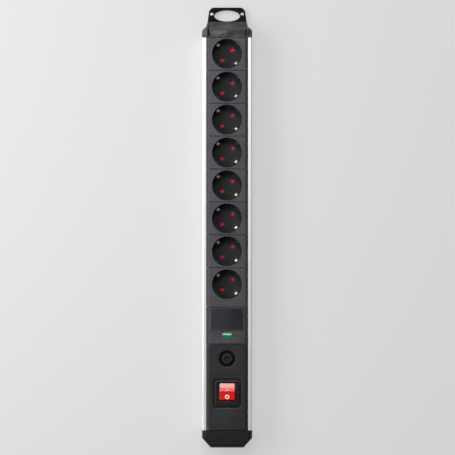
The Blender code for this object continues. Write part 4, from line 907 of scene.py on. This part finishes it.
def lamp_patch():
    """The lens: a flange, then rings drawn in to the lens's middle line, rising to it from a rounded rim."""
    low_z, high_z = BOX["lamp_lens"][:, 2]
    seat_z = UNDER_Z - LAMP_GAP
    half_y = LAMP_HALF[1]
    rings = [pole(LAMP_MIDDLE, low_z)]
    rings += [soft_ring(LAMP_HALF + flange, LAMP_CORNER, LAMP_MIDDLE, z)
              for flange, z in ((LAMP_FLANGE, low_z), (LAMP_FLANGE, seat_z), (0.0, seat_z))]
    for inset in half_y * np.linspace(0.0, 1.0, 17) ** LAMP_GATHER:
        ring = soft_ring(LAMP_HALF - inset, max(0.0, min(LAMP_CORNER, half_y - inset)), LAMP_MIDDLE, FACE_Z)
        crown = 1.0 - (abs(ring[:, 1] - LAMP_MIDDLE[1]) / half_y) ** LAMP_CROWN
        rim = math.sqrt(1.0 - (1.0 - min(inset / LAMP_RIM, 1.0)) ** 2)
        ring[:, 2] += (high_z - FACE_Z) * crown * rim
        rings.append(ring)
    return stacked(rings)


class STRIP_OT_surge(bpy.types.Operator):
    """Make the surge panel, the bare plate on it and its green lamp"""
    bl_idname = "strip.surge"
    bl_label = "Surge filter"

    def execute(self, context):
        sizes = context.scene.strip_sizes
        solid("surge_face", [surge_patch(sizes)], "black_plastic", ["surge_panel"], "surge_plastic")
        solid("dark_plate", [plate_patch()], "black_plastic", ["label_plate"], "plate")
        solid("green_lamp", [lamp_patch()], "lamp_green", ["lamp_lens"], sharp=60.0)
        return {"FINISHED"}


# Control panel and breaker

NUT = middle("breaker_nut")
PANEL_SEAM_Y = NUT[1] - 20.0 * MM   # plane on which the two halves of the panel's face are joined
BREAKER_HOLE = 5.2 * MM
BREAKER_RECESS = 11.0 * MM          # radius of the round recess
BREAKER_FLOOR_Z = FACE_Z - 3.6 * MM
LINING_WALL = 0.25 * MM
LINING_GAP = 0.02 * MM
LINING_TOP_Z = FACE_Z - 0.7 * MM
SWITCH_RECESS = np.array([19.0, 19.5]) * MM         # half the width and length of the square recess
SWITCH_CORNER = 5.0 * MM
SWITCH_FLOOR_Z = FACE_Z - 2.2 * MM
SWITCH_FILLET = 0.4 * MM
SWITCH_OPENING = np.array([12.7, 14.6]) * MM        # half the opening for the switch's body
OPENING_CORNER = 0.5 * MM
NUT_ROUND = 0.45 * MM
NUT_HOLE_ROUND = 0.2 * MM
FLUTES = 24
FLUTE_DEPTH = 0.10 * MM
BUTTON_ROUND = 0.5 * MM
BUTTON_DISH = 0.55 * MM
DISH_MARGIN = 1.1 * BUTTON_ROUND
BODY_ROUND = 0.25 * MM


def without_wall(patch, y):
    """A patch without the faces that lie wholly on the plane at y, where two patches join."""
    points, quads = patch
    return points, quads[~(abs(points[quads][:, :, 1] - y) < WELD).all(axis=1)]


def control_patches(sizes):
    """The panel's face in two halves, one round the breaker's recess and one round the switch's."""
    lip = sizes.recess_round
    low_y, high_y = BOX["control_panel"][:, 1]
    upper = face_rings(PANEL_SEAM_Y, high_y, sizes, soft_low=0.0)
    upper += [round_ring(BREAKER_RECESS + out, NUT, FACE_Z - drop) for out, drop in mouth(lip, 6)]
    upper += [round_ring(radius, NUT, z) for radius, z in (
        (BREAKER_RECESS, BREAKER_FLOOR_Z - LINING_GAP), (BREAKER_HOLE, BREAKER_FLOOR_Z - LINING_GAP),
        (BREAKER_HOLE, UNDER_Z))]
    bezel = (0.0, middle("switch_body")[1])
    lower = face_rings(low_y, PANEL_SEAM_Y, sizes, soft_high=0.0)
    lower += [soft_ring(SWITCH_RECESS + out, SWITCH_CORNER + out, bezel, FACE_Z - drop)
              for out, drop in mouth(lip, 6)]
    lower += [soft_ring(SWITCH_RECESS - inset, SWITCH_CORNER, bezel, SWITCH_FLOOR_Z + rise)
              for inset, rise in shoulder(SWITCH_FILLET, 4)]
    lower += [soft_ring(SWITCH_OPENING, OPENING_CORNER, (0.0, PIVOT[1]), z)
              for z in (SWITCH_FLOOR_Z, UNDER_Z)]
    return [crowned(without_wall(stacked(half, loop=True), PANEL_SEAM_Y)) for half in (upper, lower)]


def lining_patch():
    """A thin turned sheet in the round recess, with a chamfer where its floor meets its wall. Its near-black
    colour is painted shade, which makes the shallow recess look deep.
    """
    outer = BREAKER_RECESS
    inner = BREAKER_RECESS - LINING_WALL
    floor_z = BREAKER_FLOOR_Z
    profile = [(outer, LINING_TOP_Z), (outer, floor_z), (BREAKER_HOLE, floor_z),
               (BREAKER_HOLE, floor_z + LINING_WALL), (inner - LINING_WALL, floor_z + LINING_WALL),
               (inner, floor_z + 2 * LINING_WALL), (inner, LINING_TOP_Z)]
    return stacked(turned(profile, NUT), loop=True)


def nut_patch():
    """The ring nut: a turned ring with soft edges and narrow flutes, the cube of a raised cosine."""
    low_z, high_z = BOX["breaker_nut"][:, 2]
    outer = half_size("breaker_nut")[0]
    profile = [(BREAKER_HOLE, low_z), (outer, low_z)]
    profile += [(outer - inset, high_z - drop) for inset, drop in shoulder(NUT_ROUND, 6)]
    profile += [(BREAKER_HOLE + out, high_z - drop) for out, drop in mouth(NUT_HOLE_ROUND, 4)]
    flutes = FLUTE_DEPTH * (0.5 - 0.5 * np.cos(FLUTES * FINE)) ** 3
    return stacked(turned(profile, NUT, FINE, flutes), loop=True)


def button_patch():
    """The button: a turned stud with a soft edge and a dished top, a parabola about its axis."""
    low_z, high_z = BOX["breaker_button"][:, 2]
    radius = half_size("breaker_button")[0]
    profile = [(0.0, low_z), (radius, low_z)]
    profile += [(radius - inset, high_z - drop) for inset, drop in shoulder(BUTTON_ROUND, 6)]
    profile += [((radius - DISH_MARGIN) * share, high_z - BUTTON_DISH * (1.0 - share * share))
                for share in np.linspace(1.0, 0.0, 9)[1:]]
    return stacked(turned(profile, NUT, FINE))


class STRIP_OT_control(bpy.types.Operator):
    """Make the control panel with its round and its square recess"""
    bl_idname = "strip.control"
    bl_label = "Control panel"

    def execute(self, context):
        patches = control_patches(context.scene.strip_sizes)
        solid("control_face", patches, "black_plastic", ["control_panel"], "control_plastic")
        # A near-black sheet in the round recess: painted shade.
        solid("recess_lining", [lining_patch()], "switch_plastic", finish="lining")
        return {"FINISHED"}


class STRIP_OT_breaker(bpy.types.Operator):
    """Make the breaker's fluted ring nut, its dished button and its body"""
    bl_idname = "strip.breaker"
    bl_label = "Breaker"

    def execute(self, context):
        solid("breaker_ring", [nut_patch()], "switch_plastic", ["breaker_nut"], "nut_plastic")
        solid("reset_button", [button_patch()], "switch_plastic", ["breaker_button"], "button_plastic",
              "breaker_button")
        eased_copy("breaker_body", "switch_plastic", BODY_ROUND)
        return {"FINISHED"}


# Switch

BEZEL_CORNER = 4.0 * MM
BEZEL_THICKNESS = 2.7 * MM
SWITCH_WALL = 1.8 * MM
SWITCH_BODY_CORNER = 0.6 * MM       # under the bezel
ROCKER_TILT = math.radians(-10.0)
ROCKER_HALF = 10.3 * MM
ROCKER_CROWN = 6.9 * MM   # height of the ridge over the pivot
ROCKER_RADIUS = 12.2 * MM           # of both ends about the pivot
ROCKER_RISE = math.radians(24.0)    # from the pivot to the upper and the lower edge of an end
ROCKER_DROP = math.radians(20.0)
ROCKER_HOLLOW = 0.5       # 0 gives straight faces
RIDGE_SOFT = 0.4 * MM
ROCKER_ROOM = 0.3 * MM    # between the rocker and its well
ROCKER_WELL = np.array([ROCKER_HALF, ROCKER_RADIUS]) + ROCKER_ROOM
ROCKER_WELL_CORNER = 0.5 * MM
ROCKER_WELL_ROUND = 0.4 * MM
ROCKER_WELL_DEPTH = 6.7 * MM        # below the pivot
MARK_PROUD = 0.07 * MM
MARK_SUNK = 0.10 * MM
MARK_EDGE = 0.1 * MM
RING_Y = -7.4 * MM
RING_OUTER = 2.75 * MM
RING_INNER = 1.7 * MM
LINE_Y = 1.7 * MM
LINE_HALF = np.array([0.55, 1.2]) * MM
LINE_CORNER = 0.4 * MM


def rocker_top(y):
    """Height of the rocker's faces over its pivot: a hollow fall to each end, steepest at the soft ridge."""
    end_y, end_z = ROCKER_RADIUS * math.cos(ROCKER_RISE), ROCKER_RADIUS * math.sin(ROCKER_RISE)
    share = (np.hypot(y, RIDGE_SOFT) - RIDGE_SOFT) / (math.hypot(end_y, RIDGE_SOFT) - RIDGE_SOFT)
    return ROCKER_CROWN - (ROCKER_CROWN - end_z) * share * (1.0 + ROCKER_HOLLOW - ROCKER_HOLLOW * share)


def tilted(patch):
    """Turn a patch made about the rocker's pivot to its place at rest."""
    points, faces = patch
    x, y, z = points.T
    cosine, sine = math.cos(ROCKER_TILT), math.sin(ROCKER_TILT)
    return np.stack([x, y * cosine - z * sine, y * sine + z * cosine], axis=-1) + PIVOT, faces


def bezel_patch(sizes):
    """The switch's body up to its bezel, over the bezel's soft edge and down into the rocker's well."""
    low_z, high_z = BOX["switch_body"][:, 2]
    half = half_size("switch_body")
    bezel = middle("switch_body")
    centre = (0.0, PIVOT[1])
    under_z = high_z - BEZEL_THICKNESS
    floor_z = PIVOT[2] - ROCKER_WELL_DEPTH
    rings = [pole(centre, low_z)]
    rings += [soft_ring(ROCKER_WELL + SWITCH_WALL, SWITCH_BODY_CORNER, centre, z) for z in (low_z, under_z)]
    rings.append(soft_ring(half, BEZEL_CORNER, bezel, under_z))
    rings += [soft_ring(half - inset, BEZEL_CORNER - inset, bezel, high_z - drop)
              for inset, drop in shoulder(sizes.bezel_round, 6)]
    rings += [soft_ring(ROCKER_WELL + out, ROCKER_WELL_CORNER + out, centre, high_z - drop)
              for out, drop in mouth(ROCKER_WELL_ROUND, 5)]
    rings += [soft_ring(ROCKER_WELL, ROCKER_WELL_CORNER, centre, floor_z), pole(centre, floor_z)]
    return stacked(rings)


def rocker_patch():
    """The rocker: a section of two round ends and the hollow faces between them, carried across the strip."""
    end = ROCKER_RADIUS * math.cos(ROCKER_RISE)
    top_y = np.delete(np.linspace(end, -end, 49), [1, -2])     # leaves room for the rounded ends
    arc = np.linspace(-ROCKER_DROP, ROCKER_RISE, 9)[:-1]
    upper = ROCKER_RADIUS * np.stack([np.cos(arc), np.sin(arc)], axis=-1)
    lower = upper[::-1] * [-1.0, 1.0]
    section = np.concatenate([upper, np.stack([top_y, rocker_top(top_y)], axis=-1), lower])
    return tilted(carried(section, -ROCKER_HALF, ROCKER_HALF))


def mark_patch(rings, lifts, loop=False):
    """A mark that lies on the rocker: each ring takes the rocker's height and its own lift."""
    for ring, lift in zip(rings, lifts):
        ring[:, 2] = rocker_top(ring[:, 1]) + lift
    return tilted(stacked(rings, loop))


def mark_patches():
    """A ring on the lower half of the rocker and a short line on the upper half."""
    low, edge, high = -MARK_SUNK, 0.5 * MARK_PROUD, MARK_PROUD
    radii = (RING_OUTER, RING_OUTER, RING_OUTER - MARK_EDGE, RING_INNER + MARK_EDGE, RING_INNER, RING_INNER)
    ring = [round_ring(radius, (0.0, RING_Y), 0.0) for radius in radii]
    end = pole((0.0, LINE_Y), 0.0)
    line = [soft_ring(LINE_HALF - inset, LINE_CORNER, (0.0, LINE_Y), 0.0) for inset in (0.0, 0.0, MARK_EDGE)]
    return [mark_patch(ring, (low, edge, high, high, edge, low), loop=True),
            mark_patch([end.copy(), *line, end], (low, low, edge, high, high))]


class STRIP_OT_switch(bpy.types.Operator):
    """Make the switch's bezel, its red rocker and the two marks on it"""
    bl_idname = "strip.switch"
    bl_label = "Switch"

    def execute(self, context):
        sizes = context.scene.strip_sizes
        solid("switch_bezel", [bezel_patch(sizes)], "switch_plastic", ["switch_body"])
        solid("red_rocker", [rocker_patch()], "rocker_red", ["rocker"], body="rocker", sharp=30.0,
              bevel=sizes.rocker_round)
        solid("rocker_marks", mark_patches(), "white_plastic", finish="marks", body="rocker")
        return {"FINISHED"}


# Head and foot

HOOD_HALF = 24.3 * MM     # from the middle to the foot of the hood's roof
HOOD_KEEL = 2.2 * MM      # rise of the roof along its middle
HOOD_FALL = 8.2 * MM      # fall of the roof to each side
KEEL_SOFT = 1.5 * MM
CHEEK_INNER = 26.5 * MM
CHEEK_FALL = 2.6 * MM
HOOD_GROWTH = (0.5 * MM, 4.0 * MM)  # distances from the channel's end between which the roof grows
HOOD_LEVELS = (10.0 * MM, 26.0 * MM)        # heights between which it grows
SCREW_SHANK = 1.8 * MM
SCREW_SEAT = 7.1 * MM     # above the bracket's back
SCREW_RIM = 0.35 * MM
SCREW_DOME = 2.4          # power of the way out from its middle by which the head falls
CROSS_ARM = (0.36 * MM, 0.16 * MM)  # half width of the cross recess, and the slope of its sides
CROSS_REACH = (1.35 * MM, 0.2 * MM)         # the same along its arms
CROSS_DEPTH = 0.6 * MM
BUSH_RADIUS = 6.5 * MM
BUSH_BORE = 4.7 * MM
BUSH_LIP = 1.4 * MM
BUSH_ROUND = 0.5 * MM


def domed(points):
    """Give the hood a low roof: a soft keel along its middle and a straight fall to both sides. The cheeks
    beside it lean outwards. Both grow from the channel's end and with height."""
    out = abs(points[:, 0])
    from_end = points[:, 1] - BOX["head_cap"][0, 1]
    roof = HOOD_KEEL - HOOD_FALL * (np.hypot(out, KEEL_SOFT) - KEEL_SOFT) / HOOD_HALF
    cheek = -CHEEK_FALL * (out - CHEEK_INNER) / (HALF_WIDTH - CHEEK_INNER)
    lift = roof + eased_step(out, HOOD_HALF, CHEEK_INNER) * (cheek - roof)
    points[:, 2] += lift * eased_step(from_end, *HOOD_GROWTH) * eased_step(points[:, 2], *HOOD_LEVELS)
    return points


def screw_patch(node):
    """A turned screw whose domed head has a cross recess: a ring sinks where it is near an arm."""
    low_z, high_z = BOX[node][:, 2]
    centre = middle(node)
    radius = half_size(node)[0]
    seat_z = BOX["hanging_bracket"][0, 2] + SCREW_SEAT
    rim_z = seat_z + SCREW_RIM
    profile = [(0.0, low_z), (SCREW_SHANK, low_z), (SCREW_SHANK, seat_z), (radius, seat_z), (radius, rim_z)]
    rings = turned(profile, centre, COARSE)
    for share in np.linspace(1.0, 0.0, 22):
        dome_z = rim_z + (high_z - rim_z) * (1.0 - share ** SCREW_DOME)
        ring = round_ring(radius * share, centre, dome_z, COARSE)
        arm = abs(ring[:, :2] - centre).min(axis=1)
        sunk = np.clip((CROSS_ARM[0] - arm) / CROSS_ARM[1], 0.0, 1.0)
        sunk *= np.clip((CROSS_REACH[0] - radius * share) / CROSS_REACH[1], 0.0, 1.0)
        ring[:, 2] -= CROSS_DEPTH * sunk
        rings.append(ring)
    return stacked(rings)


def bush_patch():
    """The inlet's bush: a turned ring with a lip, its axis laid along the strip."""
    (low_y, high_y), (low_z, high_z) = BOX["cord_grommet"][:, 1:].T
    lip = half_size("cord_grommet")[0]
    lip_y = low_y + BUSH_LIP
    profile = [(BUSH_BORE + out, low_y + drop) for out, drop in shoulder(BUSH_ROUND, 5)]
    profile += [(lip - inset, low_y + drop) for inset, drop in mouth(BUSH_ROUND, 5)]
    profile += [(lip, lip_y), (BUSH_RADIUS, lip_y), (BUSH_RADIUS, high_y), (BUSH_BORE, high_y)]
    x, z, y = np.moveaxis(np.array(turned(profile, (0.0, (low_z + high_z) / 2))), -1, 0)
    return stacked(np.stack([x, y, z], axis=-1), loop=True)


class STRIP_OT_head(bpy.types.Operator):
    """Make the head cap, the bracket with the hanging eye and its two screws"""
    bl_idname = "strip.head"
    bl_label = "Head"

    def execute(self, context):
        sizes = context.scene.strip_sizes
        eased_copy("head_cap", "black_plastic", sizes.cap_round, "cap_plastic", bend=domed)
        eased_copy("hanging_bracket", "black_plastic", sizes.cap_round, "bracket_plastic")
        for hand in ("left", "right"):
            screw = f"fixing_screw_{hand}"
            solid(f"fixing_{hand}", [screw_patch(screw)], "zinc_steel", [screw], sharp=40.0)
        return {"FINISHED"}


class STRIP_OT_foot(bpy.types.Operator):
    """Make the foot cap with its cut corners, and the bush of the cord inlet"""
    bl_idname = "strip.foot"
    bl_label = "Foot"

    def execute(self, context):
        eased_copy("foot_cap", "black_plastic", context.scene.strip_sizes.cap_round, "foot_plastic")
        solid("inlet_bush", [bush_patch()], "rubber", ["cord_grommet"])
        return {"FINISHED"}


class STRIP_OT_inside(bpy.types.Operator):
    """Finish the pieces inside the strip that keep their solids"""
    bl_idname = "strip.inside"
    bl_label = "Inside"

    def execute(self, context):
        slots = {row["node"]: row["material_slot"] for row in frame["record"]["subparts"]}
        for name, node in frame["nodes"].items():
            if node.hide_render:
                continue
            node.data.materials.clear()
            node.data.materials.append(FINISHES[slots[name]])
        return {"FINISHED"}


# Stage

WHITE = (1.0, 1.0, 1.0, 1.0)
FLOOR_REACH = 3.0
FLOOR_Z = -0.3 * MM
FLOOR_GLOW = 0.74         # brightness that the floor shows to the camera and to gloss
FLOOR_GLOW_SHARE = 0.65   # share of that brightness; the rest is lit and keeps the shadow
HORIZON_GLOW = 0.55       # brightness that the surroundings show low down
HORIZON = (0.15, 0.6)     # heights between which that brightness falls to the ambient light
KEY_SIZE, KEY_PLACE, KEY_TARGET = (1.4, 0.5), (-0.62, 0.35, 0.62), (0.0, 0.35, 0.0)
ACCENT_SIZE, ACCENT_PLACE, ACCENT_TARGET = (0.95, 0.7), (-0.1, 1.35, 2.5), (0.0, -0.2, 0.0)
SENSOR = 36.0
CAMERA_X, CAMERA_Y = 0.5 * MM, -1.35 * MM


def shown_rays(tree):
    """1 for rays from the camera, off gloss or through glass, and 0 for the rays that only light."""
    path = tree.nodes.new("ShaderNodeLightPath")
    camera, glossy, through = (Wire(tree, path.outputs[f"Is {kind} Ray"])
                               for kind in ("Camera", "Glossy", "Transmission"))
    return camera + glossy + through


def make_floor(scene, tint):
    """A pale floor with a fine speck, which shows part of its brightness as a glow and keeps its shadow."""
    def build(place):
        return {"Base Color": place.noise(1.5 * MM).mix(tinted(tint, 0.985), tint)}

    corners = FLOOR_REACH * np.array([(-1, -1, 0), (1, -1, 0), (1, 1, 0), (-1, 1, 0)]) + [0.0, 0.0, FLOOR_Z]
    mesh = bpy.data.meshes.new("floor")
    mesh.from_pydata(corners.tolist(), [], [(0, 1, 2, 3)])
    floor = bpy.data.objects.new("floor", mesh)
    scene.collection.objects.link(floor)
    paper = finish("pale_floor", build, Roughness=0.9)
    tree = paper.node_tree
    lit = Wire(tree, tree.nodes["Principled BSDF"].outputs[0])
    glow = lit.node("ShaderNodeEmission", None, {"Color": WHITE, "Strength": FLOOR_GLOW})
    mixed = lit.node("ShaderNodeMixShader", None, {0: shown_rays(tree) * FLOOR_GLOW_SHARE, 1: lit, 2: glow})
    tree.links.new(mixed.socket, tree.nodes["Material Output"].inputs["Surface"])
    mesh.materials.append(paper)


def make_world(scene, ambient):
    """Even light from all round, with a brighter horizon for the camera and for gloss."""
    world = bpy.data.worlds.new("studio")
    world.use_nodes = True
    tree = world.node_tree
    background = tree.nodes["Background"]
    background.inputs["Color"].default_value = WHITE
    upward = Wire(tree).node("ShaderNodeTexCoord", output="Generated").part(2)
    horizon = shown_rays(tree).between(0.0, 1.0) * (1.0 - upward.between(*HORIZON))
    strength = horizon * (HORIZON_GLOW - ambient) + ambient
    tree.links.new(strength.socket, background.inputs["Strength"])
    scene.world = world


def soft_light(scene, name, power, size, place, target):
    """An oblong soft light at a place, facing a target."""
    lamp = bpy.data.lights.new(name, "AREA")
    lamp.shape = "RECTANGLE"
    lamp.energy = power
    lamp.size, lamp.size_y = size
    holder = bpy.data.objects.new(name, lamp)
    holder.location = place
    x, y, z = np.array(place) - np.array(target)
    holder.rotation_euler = (math.atan2(math.hypot(x, y), z), 0.0, math.atan2(x, -y))
    scene.collection.objects.link(holder)


def make_camera(scene, height, field):
    """A camera straight above the strip whose picture is field wide halfway up the strip."""
    camera = bpy.data.cameras.new("camera")
    camera.type = "PERSP"
    camera.sensor_width = SENSOR
    camera.lens = SENSOR * (height - FACE_Z / 2) / field
    camera.dof.use_dof = False
    holder = bpy.data.objects.new("camera", camera)
    holder.location = (CAMERA_X, CAMERA_Y, height)
    scene.collection.objects.link(holder)
    scene.camera = holder


class STRIP_OT_stage(bpy.types.Operator):
    """Make the floor, the light and the camera"""
    bl_idname = "strip.stage"
    bl_label = "Stage"

    def execute(self, context):
        scene = context.scene
        stage = scene.strip_stage
        scene.view_settings.view_transform = "Standard"
        make_floor(scene, stage.floor)
        make_world(scene, stage.ambient)
        soft_light(scene, "key", stage.key_power, KEY_SIZE, KEY_PLACE, KEY_TARGET)
        soft_light(scene, "accent", stage.accent_power, ACCENT_SIZE, ACCENT_PLACE, ACCENT_TARGET)
        make_camera(scene, stage.camera_height, stage.field)
        return {"FINISHED"}


STEPS = (STRIP_OT_finishes, STRIP_OT_channel, STRIP_OT_sockets, STRIP_OT_contacts, STRIP_OT_surge,
         STRIP_OT_control, STRIP_OT_breaker, STRIP_OT_switch, STRIP_OT_head, STRIP_OT_foot, STRIP_OT_inside,
         STRIP_OT_stage)


class STRIP_PT_looks(bpy.types.Panel):
    """Sizes, colours and steps of the power strip"""
    bl_idname = "STRIP_PT_looks"
    bl_label = "Power Strip"
    bl_space_type = "VIEW_3D"
    bl_region_type = "UI"
    bl_category = "Power Strip"

    def draw(self, context):
        for group in (context.scene.strip_sizes, context.scene.strip_colours, context.scene.strip_stage):
            column = self.layout.column(align=True)
            for key in group.__annotations__:
                column.prop(group, key)
        for step in STEPS:
            self.layout.operator(step.bl_idname)


CLASSES = (StripSizes, StripColours, StripStage, *STEPS, STRIP_PT_looks)


def register():
    for item in CLASSES:
        bpy.utils.register_class(item)
    bpy.types.Scene.strip_sizes = PointerProperty(type=StripSizes)
    bpy.types.Scene.strip_colours = PointerProperty(type=StripColours)
    bpy.types.Scene.strip_stage = PointerProperty(type=StripStage)


def unregister():
    del bpy.types.Scene.strip_stage
    del bpy.types.Scene.strip_colours
    del bpy.types.Scene.strip_sizes
    for item in reversed(CLASSES):
        bpy.utils.unregister_class(item)


def main():
    register()
    for step in STEPS:
        group, name = step.bl_idname.split(".")
        getattr(getattr(bpy.ops, group), name)()


if __name__ == "__main__":
    main()
